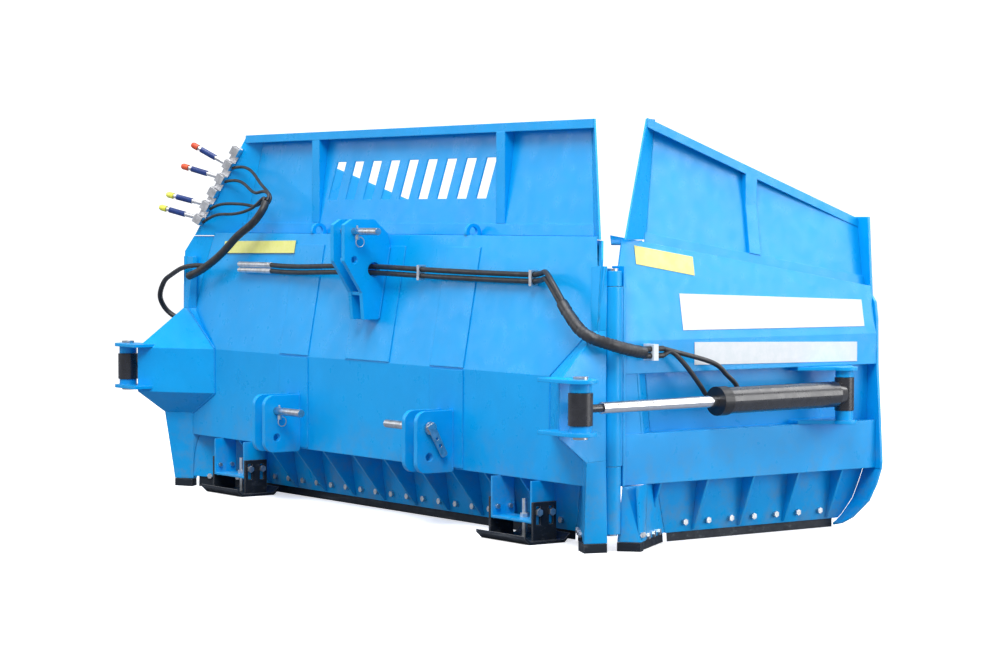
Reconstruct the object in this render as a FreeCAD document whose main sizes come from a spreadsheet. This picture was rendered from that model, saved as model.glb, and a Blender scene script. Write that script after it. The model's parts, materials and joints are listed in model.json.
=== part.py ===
import FreeCAD, Part
import math
import os
import Sketcher

# Folding silage push blade for a tractor linkage: a centre section with two wings that are hinged at
# its ends and swung by hydraulic cylinders. Millimetres, +Z up, +Y is the push direction, +X is the
# right-hand end. Features are laid out from the ground point midway between the two hinge axes; the
# finished nodes are shifted so that the origin is under the middle of the centre's cutting edge.
# The rest position is the transport position, with both wings folded forward by 90 degrees.
# A wing is described by its reach (distance from its hinge axis) and its lead (forward of the axis).
# At rest a right-hand point has X = hinge_x - lead and Y = reach.

os.makedirs("parts", exist_ok=True)
doc = FreeCAD.newDocument("push_blade")

DIMENSIONS = {
    # hinges
    "hinge_x": 1310, "pin_radius": 18, "pin_low": 50, "pin_high": 896, "tube_radius": 29,
    "running_fit": 0.05, "knuckle_low": 56, "knuckle_mid": 270, "knuckle_top": 840, "knuckle_end": 888,
    # curved mouldboard, shared by the centre and the wings
    "board_edge": 95, "board_mid": 50, "board_low": 30, "board_high": 985, "board_plate": 8,
    "board_radius": 2582, "board_centre": 510,
    # mitred corners beside the hinges
    "turn_x": 1003, "mitre_angle": 33.7, "mitre_lean": 3.3, "mitre_shift": 50, "corner_plate": 6,
    # rear casing of the centre section
    "casing_rear": 62, "casing_low": 205, "casing_crease": 546, "casing_ledge": 972, "casing_lip": 996,
    "casing_top_lead": 15, "casing_plate": 6, "casing_half": 1306,
    # raked extension above the mouldboard
    "ext_foot": 89, "ext_rake": 0.1299, "ext_high": 1370, "ext_plate": 6, "flange_rear": 93,
    "flange_drop": 30, "rail_high": 1036, "ext_rib_x": 585, "ext_rib_width": 50,
    "slot_pitch": 118, "slot_width": 62, "slot_low": 1122, "slot_high": 1262, "slot_slant": 38,
    # wear edges
    "edge_height": 105, "edge_plate": 16, "rib_plate": 8, "rib_pitch": 200, "rib_foot": 36,
    "nut_radius": 11, "nut_height": 9, "nut_level": 62, "nut_pitch": 100, "corner_bar_start": 22,
    "corner_bar_end": 262, "corner_bar_low": 1.3,
    "corner_nut_level": 42,
    # hinge posts and cylinder anchors
    "post_front": 33, "anchor_root_x": 1069, "anchor_tip_x": 1355, "anchor_tip_y": 245,
    "anchor_low": 374, "anchor_foot": 290, "anchor_peak": 700, "post_top": 903,
    "rod_pin_x": 1450, "rod_pin_y": 236, "cylinder_level": 469, "rod_lug_low": 385, "rod_lug_high": 560,
    "lug_plate": 12, "lug_radius": 52, "eye_radius": 39, "eye_height": 100, "eye_gap": 1,
    "cylinder_pin_radius": 20,
    # wings
    "wing_start": 42, "wing_end": 1156, "beam_high": 368, "recess_high": 560, "wing_crease": 665,
    "wing_slope": 0.178, "wing_ledge": 978, "wing_fall": 8.9, "wing_lip": 22, "side_plate": 10,
    "chamfer_reach": 1045, "side_low": 202, "wing_ext_reach": 222, "wing_ext_fall": 18.9,
    "wing_rib_first": 209, "wing_nut_first": 369, "wing_corner_end": 288, "wing_ext_rib": 640,
    "barrel_pin_reach": 945, "barrel_pin_lead": -65,
    "wing_lug_radius": 44, "base_eye_radius": 33, "base_eye_height": 110,
    # hydraulic cylinders, measured from the barrel pin
    "pin_distance": 1183.4, "barrel_yaw": -86.366, "barrel_radius": 43, "barrel_bore": 35,
    "barrel_length": 560, "gland_length": 42, "gland_radius": 47, "rod_radius": 19, "neck_radius": 13,
    "neck_length": 86, "piston_start": 505, "piston_end": 545,
    # tractor linkage brackets
    "hitch_x": 490, "hitch_outer": 45, "hitch_plate": 19, "hitch_pin_lag": 164, "hitch_pin_level": 348,
    "hitch_hole_level": 250, "hitch_rear": 215, "hitch_low": 195, "hitch_high": 405,
    "hitch_corner": 38, "hitch_pin_radius": 14, "hitch_hole_radius": 14.3, "hitch_pin_length": 262,
    "flag_length": 110, "flag_lean": 29,
    "top_pin_lag": 145, "top_pin_level": 1007, "top_hole_level": 907, "top_pin_radius": 12.5,
    "top_hole_radius": 12.8, "top_pin_length": 244,
    "hose_hole_lag": 62, "hose_hole_level": 872, "hose_hole_radius": 26,
    # doubler plates on the casing
    "doubler_plate": 4, "doubler_half": 98, "doubler_mid_half": 140,
    # skids
    "skid_x": 905, "skid_half": 112, "skid_plate": 8, "skid_rear": 96, "skid_front": 4, "skid_low": 67,
    "shoe_half": 134, "shoe_base": 10, "shoe_ear_high": 136, "shoe_front": 44, "shoe_rear": 140,
    "skid_bolt_level": 103, "skid_screw_lag": 40, "skid_screw_radius": 9,
    # coupler holder along the slanted edge of the left-hand corner plate
    "holder_block": 34, "holder_pitch": 62, "holder_first": 64, "holder_low": -22,
    "coupler_radius": 11, "coupler_offset": 13, "coupler_hose_radius": 6,
    # hoses
    "hose_radius": 9, "hose_split": 11, "sleeve_radius": 15, "fitting_radius": 10.2,
    "port_near": 545, "port_far": 440, "port_radius": 10, "port_top": 56,
}


def make_sheet():
    """Write every driving dimension to its own aliased cell."""
    sheet = doc.addObject("Spreadsheet::Sheet", "size")
    for row, (name, number) in enumerate(DIMENSIONS.items(), start=1):
        sheet.set(f"A{row}", name)
        sheet.set(f"B{row}", str(number))
        sheet.setAlias(f"B{row}", name)
    doc.recompute()
    return sheet


size = make_sheet()


def plus(*terms):
    """Join numbers and expressions into one expression."""
    return " + ".join(f"({term})" for term in terms)


def bind(feature, **expressions):
    """Bind properties of a feature to expressions."""
    for name, expression in expressions.items():
        feature.setExpression(name, str(expression))


def origin_plane(body, role):
    """Return one of a body's own origin planes."""
    return next(item for item in body.Origin.OriginFeatures if item.Role == role)


def bind_point(sketch, index, end, across, up, guess):
    """Hold one sketch point at bound distances from the sketch's origin."""
    for kind, text, value in (("DistanceX", across, guess.x), ("DistanceY", up, guess.y)):
        rule = sketch.addConstraint(Sketcher.Constraint(kind, -1, 1, index, end, value))
        sketch.setExpression(f"Constraints[{rule}]", str(text))


def polygon_sketch(body, role, outline, holes=(), offset="0"):
    """Sketch a closed polygon and round holes whose points are all bound to expressions."""
    sketch = body.newObject("Sketcher::SketchObject", "Outline")
    sketch.AttachmentSupport = [(origin_plane(body, role), "")]
    sketch.MapMode = "FlatFace"
    sketch.setExpression("AttachmentOffset.Base.z", str(offset))
    count = len(outline)
    start_angles = [2 * math.pi * i / count for i in range(count)]
    points = [FreeCAD.Vector(math.cos(angle), math.sin(angle), 0) * 100 for angle in start_angles]
    for i in range(count):
        sketch.addGeometry(Part.LineSegment(points[i], points[(i + 1) % count]), False)
    for i in range(count):
        sketch.addConstraint(Sketcher.Constraint("Coincident", i, 2, (i + 1) % count, 1))
    for i, (across, up) in enumerate(outline):
        bind_point(sketch, i, 1, across, up, points[i])
    for across, up, radius in holes:
        circle = Part.Circle(FreeCAD.Vector(0, 0, 0), FreeCAD.Vector(0, 0, 1), 10)
        index = sketch.addGeometry(circle, False)
        bind_point(sketch, index, 3, across, up, circle.Center)
        rule = sketch.addConstraint(Sketcher.Constraint("Radius", index, 10))
        sketch.setExpression(f"Constraints[{rule}]", str(radius))
    return sketch


def plate(name, role, outline, start, length, holes=(), placement=None):
    """Pad an outline from start to start + length along the positive axis across its plane."""
    body = doc.addObject("PartDesign::Body", name)
    offset = start if role != "XZ_Plane" else f"-({start}) - ({length})"
    sketch = polygon_sketch(body, role, outline, holes, offset)
    pad = body.newObject("PartDesign::Pad", "Pad")
    pad.Profile = sketch
    bind(pad, Length=length)
    if placement:
        bind(body, Placement=placement)
    return body


def turned(name, outline, placement):
    """Revolve an outline of (along, radius) points about the body's own X axis."""
    body = doc.addObject("PartDesign::Body", name)
    sketch = polygon_sketch(body, "XY_Plane", outline)
    lathe = body.newObject("PartDesign::Revolution", "Turn")
    lathe.Profile = sketch
    lathe.ReferenceAxis = (sketch, ["H_Axis"])
    bind(body, Placement=placement)
    return body


def tapered(name, low_level, low_outline, high_level, high_outline):
    """Loft a solid between two outlines at two levels."""
    body = doc.addObject("PartDesign::Body", name)
    low = polygon_sketch(body, "XY_Plane", low_outline, offset=low_level)
    high = polygon_sketch(body, "XY_Plane", high_outline, offset=high_level)
    loft = body.newObject("PartDesign::AdditiveLoft", "Loft")
    loft.Profile = low
    loft.Sections = [high]
    loft.Ruled = True
    return body


def rod(name, x, y, z, radius, height, turn=None):
    """Round bar that starts at a point and runs up, or along a turned axis."""
    bar = doc.addObject("Part::Cylinder", name)
    bind(bar, Radius=radius, Height=height)
    bind(bar, Placement=f"placement(vector({x}; {y}; {z}); {turn or 'rotation(0; 0; 0)'})")
    return bar


ALONG_X = "rotation(0; 90; 0)"
ALONG_Y = "rotation(0; 0; -90)"


def cut(name, base, *tools):
    """Take every tool away from the base."""
    result = base
    for number, tool in enumerate(tools, start=1):
        step = doc.addObject("Part::Cut", f"{name}_cut{number}")
        step.Base = result
        step.Tool = tool
        result = step
    return result


def common(name, first, second):
    """Keep what two features share."""
    result = doc.addObject("Part::Common", name)
    result.Base = first
    result.Tool = second
    return result


def fuse(name, *pieces):
    """Weld pieces into one solid."""
    result = doc.addObject("Part::MultiFuse", name)
    result.Shapes = list(pieces)
    result.Refine = True
    return result


def group(name, *pieces):
    """Keep separate pieces together in one node."""
    result = doc.addObject("Part::Compound", name)
    result.Links = list(pieces)
    return result


def mirrored(name, source, base=(0, 0, 0), normal=(1, 0, 0)):
    """Mirror a feature, by default from the right-hand end to the left-hand end."""
    result = doc.addObject("Part::Mirroring", name)
    result.Source = source
    result.Base = FreeCAD.Vector(*base)
    result.Normal = FreeCAD.Vector(*normal)
    return result


def both_ends(name, piece):
    """Pair a right-hand piece with its left-hand mirror image."""
    return group(name, piece, mirrored(f"{name}_left", piece))


def to_wing(name, source):
    """Mirror a right-hand corner piece of the centre to the wing, about the fold's middle plane."""
    base = (DIMENSIONS["hinge_x"], 0, 0)
    return mirrored(name, source, base, (1, 1, 0))


NODES = {}


ORIGIN_SHIFT = "placement(vector(0; -(size.board_edge + 1 + size.edge_plate / 2); 0); rotation(0; 0; 0))"


def node(name, feature):
    """Shift a finished sub-part to the origin; its label also names its file."""
    shifted = group(f"{name}_shifted", feature)
    bind(shifted, Placement=ORIGIN_SHIFT)
    shifted.Label = name
    NODES[name] = shifted


def wing_node(name, feature):
    """Label a right-hand wing piece and make its left-hand twin."""
    node(f"right_{name}", feature)
    node(f"left_{name}", mirrored(f"left_{name}_twin", feature))


def lead(value):
    """World X of a right-hand wing point that is this far forward of the hinge axis."""
    return f"size.hinge_x - ({value})"


def wing_outline(points):
    """Turn (lead, level) points of a right-hand wing into world X and Z."""
    return [(lead(forward), level) for forward, level in points]


# Shared cutters ------------------------------------------------------------------------------------

SPAN = 3200
FAR = 900

lower_mitre = (
    "placement(vector(size.turn_x; size.board_edge; 0);"
    " rotation(-size.mitre_angle; 0; -size.mitre_lean))"
)
upper_mitre = (
    "placement(vector(size.turn_x + size.mitre_shift * sin(size.mitre_angle * 1deg);"
    " size.board_edge + size.mitre_shift * cos(size.mitre_angle * 1deg); 0);"
    " rotation(-size.mitre_angle; 0; 0))"
)


def half_space(name, placement, low, high):
    """Space beyond a mitre plane, used to trim whatever meets the corner."""
    outline = [(-FAR, low), (FAR, low), (FAR, high), (-FAR, high)]
    return plate(name, "XZ_Plane", outline, 0, FAR, placement=placement)


below_corner = half_space("lower_corner_space", lower_mitre, -200, 1100)
above_corner = half_space("upper_corner_space", upper_mitre, 900, 1700)
lower_corners = both_ends("lower_corner_spaces", below_corner)
upper_corners = both_ends("upper_corner_spaces", above_corner)
wing_lower_corner = to_wing("wing_lower_corner_space", below_corner)
wing_upper_corner = to_wing("wing_upper_corner_space", above_corner)

board_axis_y = "size.board_mid + size.board_radius"
board_back = rod("board_back", -SPAN / 2, board_axis_y, "size.board_centre",
                 "size.board_radius + size.board_plate", SPAN, ALONG_X)
board_face = rod("board_face", -SPAN / 2, board_axis_y, "size.board_centre",
                 "size.board_radius", SPAN, ALONG_X)
wing_back = rod("wing_back", lead(board_axis_y), -200, "size.board_centre",
                "size.board_radius + size.board_plate", SPAN, ALONG_Y)
wing_face = rod("wing_face", lead(board_axis_y), -200, "size.board_centre",
                "size.board_radius", SPAN, ALONG_Y)


def wing_line(base_level, fall, reach_shift="0"):
    """Sloping line over the wing, as the level at a reach of zero and the level at the far end."""
    near = f"{base_level} + (size.wing_start + {FAR} + ({reach_shift})) * tan({fall} * 1deg)"
    far = f"{base_level} - (2000 - size.wing_start - ({reach_shift})) * tan({fall} * 1deg)"
    return near, far


def above_line(name, base_level, fall, reach_shift="0"):
    """Space above a line that falls towards the wing's outer end."""
    near, far = wing_line(base_level, fall, reach_shift)
    outline = [(-FAR, near), (2000, far), (2000, 2600), (-FAR, 2600)]
    return plate(name, "YZ_Plane", outline, 0, 2000)


# Centre section ------------------------------------------------------------------------------------

def make_mouldboard():
    """Curved sheet across the centre, ending at the mitred corners."""
    ring = cut("board_ring", board_back, board_face)
    window = plate("board_window", "YZ_Plane",
                   [(0, "size.board_low"), (FAR, "size.board_low"),
                    (FAR, "size.board_high"), (0, "size.board_high")],
                   -SPAN / 2, SPAN)
    sheet = common("board_sheet", ring, window)
    node("centre_mouldboard", cut("centre_board", sheet, lower_corners))


def make_corner_plates():
    """Flat plates that close each corner, one below and one above the ledge."""
    low = plate("corner_low", "XZ_Plane",
                [(-40, "size.board_low + 2"), (345, "size.board_low + 12"), (345, 925),
                 (306, "size.board_high"), (-40, "size.board_high")],
                0, "size.corner_plate", placement=lower_mitre)
    low = cut("corner_low_trim", low, board_back)
    high = plate("corner_high", "XZ_Plane",
                 [(75, "size.board_high + 1"), (300, "size.board_high + 1"),
                  (72, "size.ext_high + 6"), (-15, "size.ext_high + 6")],
                 0, "size.corner_plate", placement=upper_mitre)
    wing_low = plate("wing_corner_source", "XZ_Plane",
                     [(-40, "size.board_low + 2"), ("size.wing_corner_end", "size.board_low + 2"),
                      ("size.wing_corner_end", "size.board_high"), (-40, "size.board_high")],
                     0, "size.corner_plate", placement=lower_mitre)
    wing_low = cut("wing_corner_trim", wing_low, board_back)
    return low, high, wing_low


def casing_slope(level):
    """Lead of the casing's outer skin at a level above its crease."""
    return (f"-size.casing_rear + ({level} - size.casing_crease) * (size.casing_rear"
            f" + size.casing_top_lead) / (size.casing_ledge - size.casing_crease)")


def make_casing():
    """Folded rear casing: lower face, sloping upper face, lip, ledge and floor."""
    skin = "size.casing_plate"
    rear = "-size.casing_rear"
    outline = [
        (rear, "size.casing_low"), (rear, "size.casing_crease"),
        (casing_slope("size.casing_lip"), "size.casing_lip"),
        (plus(casing_slope("size.casing_lip"), skin), "size.casing_lip"),
        (plus(casing_slope("size.casing_ledge"), skin), "size.casing_ledge"),
        ("size.board_edge + 10", "size.casing_ledge"),
        ("size.board_edge + 10", f"size.casing_ledge - {skin}"),
        (plus(casing_slope(f"size.casing_ledge - {skin}"), skin), f"size.casing_ledge - {skin}"),
        (plus(rear, skin), "size.casing_crease - 1"), (plus(rear, skin), f"size.casing_low + {skin}"),
        ("size.board_edge + 10", f"size.casing_low + {skin}"), ("size.board_edge + 10", "size.casing_low"),
    ]
    skin_body = plate("casing_skin", "YZ_Plane", outline, "-size.casing_half", "2 * size.casing_half")
    casing = cut("casing", skin_body, board_back, lower_corners, upper_corners)
    filled = plate("casing_filled", "YZ_Plane",
                   [outline[0], outline[1], outline[2],
                    ("size.board_edge + 10", "size.casing_lip"), ("size.board_edge + 10", "size.casing_low")],
                   "-size.casing_half", "2 * size.casing_half")
    node("rear_casing", casing)
    return cut("casing_space", filled, lower_corners)


def make_doublers():
    """Flat doubler plates welded over the casing where the linkage loads come in."""
    gap = "size.doubler_plate"
    slope_low = "size.casing_crease + 4"
    slope_high = "size.casing_ledge - 16"
    slope = [(plus(casing_slope(slope_low), f"-{gap}"), slope_low),
             (plus(casing_slope(slope_high), f"-{gap}"), slope_high),
             (casing_slope(slope_high), slope_high), (casing_slope(slope_low), slope_low)]
    face = [("-size.casing_rear - size.doubler_plate", "size.casing_low + 6"),
            ("-size.casing_rear - size.doubler_plate", "size.casing_crease - 4"),
            ("-size.casing_rear", "size.casing_crease - 4"), ("-size.casing_rear", "size.casing_low + 6")]
    pieces = []
    for side in (-1, 1):
        start = f"{side} * size.hitch_x - size.doubler_half"
        pieces.append(plate("doubler_slope", "YZ_Plane", slope, start, "2 * size.doubler_half"))
        pieces.append(plate("doubler_face", "YZ_Plane", face, start, "2 * size.doubler_half"))
    pieces.append(plate("doubler_mid", "YZ_Plane", slope, "-size.doubler_mid_half",
                        "2 * size.doubler_mid_half"))
    return group("doublers", *pieces)


def rake(level):
    """Lead of the extension's rear face at a level."""
    return f"size.ext_foot + ({level} - size.board_high) * size.ext_rake"


def make_extension():
    """Raked sheet above the mouldboard, with a row of slanted vision slots."""
    low, high, skin = "size.board_high", "size.ext_high", "size.ext_plate"
    outline = [(rake(low), low), (plus(rake(low), skin), low), (plus(rake(high), skin), high),
               (rake(high), high)]
    sheet = plate("extension_sheet", "YZ_Plane", outline, -SPAN / 2, SPAN)
    slots = []
    for number in range(-4, 5):
        middle = f"{number} * size.slot_pitch"
        slots.append(plate("slot", "XZ_Plane",
                           [(f"{middle} - size.slot_width / 2 - size.slot_slant / 2", "size.slot_low"),
                            (f"{middle} + size.slot_width / 2 - size.slot_slant / 2", "size.slot_low"),
                            (f"{middle} + size.slot_width / 2 + size.slot_slant / 2", "size.slot_high"),
                            (f"{middle} - size.slot_width / 2 + size.slot_slant / 2", "size.slot_high")],
                           0, 400))
    panel = cut("extension", sheet, upper_corners, group("slots", *slots))
    node("extension_panel", panel)


def frame_profiles():
    """Outlines of the extension's top flange, bottom rail and upright channel."""
    rear, skin, high = "size.flange_rear", "size.ext_plate", "size.ext_high"
    lip_low = "size.ext_high + size.ext_plate - size.flange_drop"
    top = [(rear, lip_low), (rear, plus(high, skin)), (plus(rake(high), skin), plus(high, skin)),
           (plus(rake(high), skin), high), (plus(rear, skin), high), (plus(rear, skin), lip_low)]
    foot = "size.casing_lip"
    rail = [(f"{rake(foot)} - 9", foot), (rake(foot), foot), (rake("size.rail_high"), "size.rail_high"),
            (f"{rake('size.rail_high')} - 9", "size.rail_high")]
    upright = [(rear, "size.rail_high + 1"), (rake("size.rail_high + 1"), "size.rail_high + 1"),
               (rake(high), high), (plus(rear, skin), high), (plus(rear, skin), lip_low), (rear, lip_low)]
    return top, rail, upright


def make_extension_frame():
    """Top flange, bottom rail and two uprights that stiffen the extension."""
    top, rail, upright = frame_profiles()
    bars = [plate("extension_flange", "YZ_Plane", top, -SPAN / 2, SPAN),
            plate("extension_rail", "YZ_Plane", rail, -SPAN / 2, SPAN)]
    trimmed = [cut(f"{bar.Name}_trim", bar, upper_corners) for bar in bars]
    for side in (-1, 1):
        start = f"{side} * size.ext_rib_x - size.ext_rib_width / 2"
        trimmed.append(plate("extension_upright", "YZ_Plane", upright, start, "size.ext_rib_width"))
    node("extension_frame", group("extension_bars", *trimmed))


def rib_outline():
    """Gusset from the casing floor down to the lower edge of the mouldboard."""
    return [("-size.casing_rear + 6", "size.casing_low - 1"), ("size.board_edge", "size.casing_low - 1"),
            ("size.board_edge", "size.rib_foot"), ("size.board_edge - 18", "size.rib_foot")]


def make_ribs():
    """Row of gussets under the casing, plus a steeper pair beside the hinge posts."""
    ribs = []
    for number in range(-5, 5):
        start = f"({number} + 0.5) * size.rib_pitch - size.rib_plate / 2"
        ribs.append(plate("rib", "YZ_Plane", rib_outline(), start, "size.rib_plate"))
    rows = cut("ribs", group("rib_row", *ribs), board_back)
    node("lower_ribs", rows)


def make_edges():
    """Bolted wear bars along the centre, the mitred corners and the feet of the posts."""
    bar = plate("edge_bar", "YZ_Plane",
                [("size.board_edge + 1", 0), ("size.board_edge + 1 + size.edge_plate", 0),
                 ("size.board_edge + 1 + size.edge_plate", "size.edge_height"),
                 ("size.board_edge + 1", "size.edge_height")], -SPAN / 2, SPAN)
    node("cutting_edge", cut("cutting_bar", bar, lower_corners))
    corner = plate("corner_bar", "XZ_Plane",
                   [("size.corner_bar_start", "size.corner_bar_low"),
                    ("size.corner_bar_end", "size.corner_bar_low"),
                    ("size.corner_bar_end", "size.edge_height"),
                    ("size.corner_bar_start", "size.edge_height")],
                   "size.corner_plate", "size.edge_plate", placement=lower_mitre)
    foot = plate("post_shoe", "XY_Plane",
                 [(1306, -107), (1330, "-size.post_front"), (1266, "-size.post_front"), (1232, -72)],
                 0, "size.board_low - 1")
    return corner, foot


def make_posts(casing_space, corner_low):
    """Tapered end posts with the flared cylinder anchors welded round them."""
    front = "-size.post_front"
    rear = "-size.casing_rear"
    foot = [(1240, rear), (1306, -107), (1330, front), (1262, front)]
    knee = [(1240, rear), (1345, -130), (1322, front), (1200, front)]
    root = [("size.anchor_root_x", rear), ("size.anchor_tip_x", "-size.anchor_tip_y"), (1322, front),
            (1120, front)]
    peak = [(1280, rear), (1310, -64), (1322, front), (1262, front)]
    top = [(1262, -48), (1337, -47), (1325, front), (1255, front)]
    levels = ["size.board_low", "size.anchor_foot", "size.anchor_low", "size.casing_crease",
              "size.anchor_peak", "size.post_top"]
    outlines = [foot, knee, root, root, peak, top]
    names = ["post_foot", "anchor_floor", "anchor_body", "anchor_roof", "post_head"]
    parts = []
    for name, low, high, low_outline, high_outline in zip(names, levels, levels[1:], outlines, outlines[1:]):
        parts.append(tapered(name, low, low_outline, high, high_outline))
    foot_part, floor_part, body_part, roof_part, head_part = parts
    anchor = cut("anchor", fuse("anchor_shell", floor_part, body_part, roof_part), casing_space, corner_low)
    post = cut("post", foot_part, casing_space, corner_low)
    head = cut("head", head_part, casing_space, corner_low)
    return anchor, post, head


def make_knuckles(post_parts, corner_low):
    """Hinge tubes and webs on the centre's posts."""
    pieces = []
    bore = rod("knuckle_bore", "size.hinge_x", 0, 0, "size.pin_radius + size.running_fit", 1000)
    spans = (("size.knuckle_low", "size.knuckle_mid"), ("size.knuckle_top", "size.knuckle_end"))
    for low, high in spans:
        tube = rod("centre_tube", "size.hinge_x", 0, low, "size.tube_radius", f"{high} - ({low})")
        web = plate("centre_web", "XY_Plane",
                    [("size.hinge_x - 20", "-size.post_front"), ("size.hinge_x + 6", "-size.post_front"),
                     ("size.hinge_x + 6", -10), ("size.hinge_x - 20", -10)], low, f"{high} - ({low})")
        pieces.append(cut("centre_knuckle", fuse("centre_knuckle_weld", tube, web), bore, corner_low))
    return group("posts_and_knuckles", *post_parts, *pieces)


def make_rod_lugs(anchor):
    """Pairs of lug plates with pads that hold the rod end, and their pin heads."""
    lugs = []
    heads = []
    x, y = "size.rod_pin_x", "-size.rod_pin_y"
    pad_low = "size.rod_lug_low + size.lug_plate"
    pad_high = "size.cylinder_level + size.eye_height / 2 + size.eye_gap"
    low_length = f"size.cylinder_level - size.eye_height / 2 - size.eye_gap - ({pad_low})"
    high_length = f"size.rod_lug_high - size.lug_plate - ({pad_high})"
    for low in ("size.rod_lug_low", "size.rod_lug_high - size.lug_plate"):
        arm = plate("lug_arm", "XY_Plane",
                    [(1300, f"{y} + size.lug_radius + 26"), (x, f"{y} + size.lug_radius"),
                     (x, f"{y} - size.lug_radius"), (1300, f"{y} - size.lug_radius")],
                    low, "size.lug_plate")
        disc = rod("lug_disc", x, y, low, "size.lug_radius", "size.lug_plate")
        lugs.append(cut("rod_lug", fuse("rod_lug_weld", arm, disc), anchor))
    lugs.append(rod("low_pad", x, y, pad_low, 34, low_length))
    lugs.append(rod("high_pad", x, y, pad_high, 34, high_length))
    heads.append(rod("low_head", x, y, "size.rod_lug_low - 9", 24, 9))
    heads.append(rod("high_head", x, y, "size.rod_lug_high", 24, 9))
    return group("rod_lugs", *lugs), group("rod_pin_heads", *heads)


def rounded_plate(name, start, outline, corner, holes):
    """Bracket plate with rounded rear corners."""
    body = plate(name, "YZ_Plane", outline, start, "size.hitch_plate", holes)
    doc.recompute()
    rear = min(vertex.Y for vertex in body.Shape.Vertexes)
    edges = []
    for number, edge in enumerate(body.Shape.Edges, start=1):
        ends = edge.Vertexes
        across = len(ends) == 2 and abs(ends[0].X - ends[1].X) > 1
        if across and all(abs(end.Y - rear) < 0.01 for end in ends):
            edges.append(f"Edge{number}")
    pad = body.Tip
    fillet = body.newObject("PartDesign::Fillet", "RoundedCorners")
    fillet.Base = (pad, edges)
    bind(fillet, Radius=corner)
    return body


def make_lower_hitches():
    """Two pairs of plates for the lower links, each with two pin heights."""
    outline = [("-size.hitch_rear", "size.hitch_low"), ("-size.hitch_rear", "size.hitch_high"),
               ("-size.casing_rear - size.doubler_plate", "size.hitch_high"),
               ("-size.casing_rear - size.doubler_plate", "size.hitch_low")]
    holes = [("-size.hitch_pin_lag", "size.hitch_pin_level", "size.hitch_hole_radius"),
             ("-size.hitch_pin_lag", "size.hitch_hole_level", "size.hitch_hole_radius")]
    plates = []
    for side in (-1, 1):
        for start in ("-size.hitch_outer", "size.hitch_outer - size.hitch_plate"):
            plates.append(rounded_plate("hitch_plate", f"{side} * size.hitch_x + {start}", outline,
                                        "size.hitch_corner", holes))
    node("lower_hitch_brackets", group("hitch_plates", *plates))


def make_top_hitch():
    """Mast plates for the top link, joined by a web below the two pin holes."""
    slope_low = "size.casing_crease + 150"
    slope_high = "size.casing_ledge - 16"
    skin = "-size.doubler_plate - 0.5"
    outline = [(-187, 903), (-187, 1030), (-154, 1050), (-60, 1050), (-2, "size.casing_lip + 2"),
               (plus(casing_slope(slope_high), skin, 0), slope_high),
               (plus(casing_slope(slope_low), skin), slope_low), (-105, slope_low), (-113, 791)]
    holes = [("-size.top_pin_lag", "size.top_pin_level", "size.top_hole_radius"),
             ("-size.top_pin_lag", "size.top_hole_level", "size.top_hole_radius"),
             ("-size.hose_hole_lag", "size.hose_hole_level", "size.hose_hole_radius")]
    plates = []
    for start in ("-size.hitch_outer", "size.hitch_outer - size.hitch_plate"):
        plates.append(plate("mast_plate", "YZ_Plane", outline, start, "size.hitch_plate", holes))
    inner = "2 * (size.hitch_outer - size.hitch_plate)"
    web = plate("mast_web", "YZ_Plane",
                [(-109, 782), (-109, 794), (plus(casing_slope(794), skin), 794),
                 (plus(casing_slope(782), skin), 782)],
                "-size.hitch_outer + size.hitch_plate", inner)
    node("top_hitch_bracket", group("mast", *plates, web))


def make_lifting_eyes():
    """Ring plates standing on the ledge for a hoist."""
    eyes = []
    for side in (-1, 1):
        start = f"{side} * size.hitch_x - 6"
        ring = rod("eye_ring", start, 46, "size.casing_ledge + 32", 32, 12, ALONG_X)
        leg = plate("eye_leg", "YZ_Plane",
                    [(14.5, "size.casing_ledge"), (77.5, "size.casing_ledge"),
                     (77.5, "size.casing_ledge + 32"), (14.5, "size.casing_ledge + 32")],
                    start, 12)
        bore = rod("eye_bore", f"{start} - 5", 46, "size.casing_ledge + 36", 16, 22, ALONG_X)
        lip = plate("eye_lip", "YZ_Plane",
                    [(-40, "size.casing_ledge"), (27, "size.casing_ledge"), (27, "size.casing_lip + 0.5"),
                     (-40, "size.casing_lip + 0.5")], f"{start} - 5", 22)
        eyes.append(cut("lifting_eye", fuse("eye_weld", ring, leg), bore, lip))
    node("lifting_eyes", group("eyes", *eyes))


def make_skid(side_name):
    """Right-hand skid bracket and shoe; the left-hand ones are mirrored."""
    x, half, skin = "size.skid_x", "size.skid_half", "size.skid_plate"
    side = [("-size.skid_rear", "size.skid_low"), ("-size.skid_rear", "size.casing_low - 1"),
            ("-size.skid_front", "size.casing_low - 1"), ("-size.skid_front", "size.skid_low")]
    bolt_holes = [(-76, "size.skid_bolt_level", 8.2), (-24, "size.skid_bolt_level", 8.2)]
    cheeks = [plate("skid_cheek", "YZ_Plane", side, start, skin, bolt_holes)
              for start in (f"{x} - {half}", f"{x} + {half} - {skin}")]
    floor = plate("skid_floor", "XY_Plane",
                  [(f"{x} - {half} + {skin}", "-size.skid_rear"), (f"{x} + {half} - {skin}", "-size.skid_rear"),
                   (f"{x} + {half} - {skin}", "-size.skid_front"),
                   (f"{x} - {half} + {skin}", "-size.skid_front")],
                  "size.skid_low", skin, [(x, "-size.skid_screw_lag", "size.skid_screw_radius + 1.5")])
    return group(side_name, *cheeks, floor)


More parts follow.
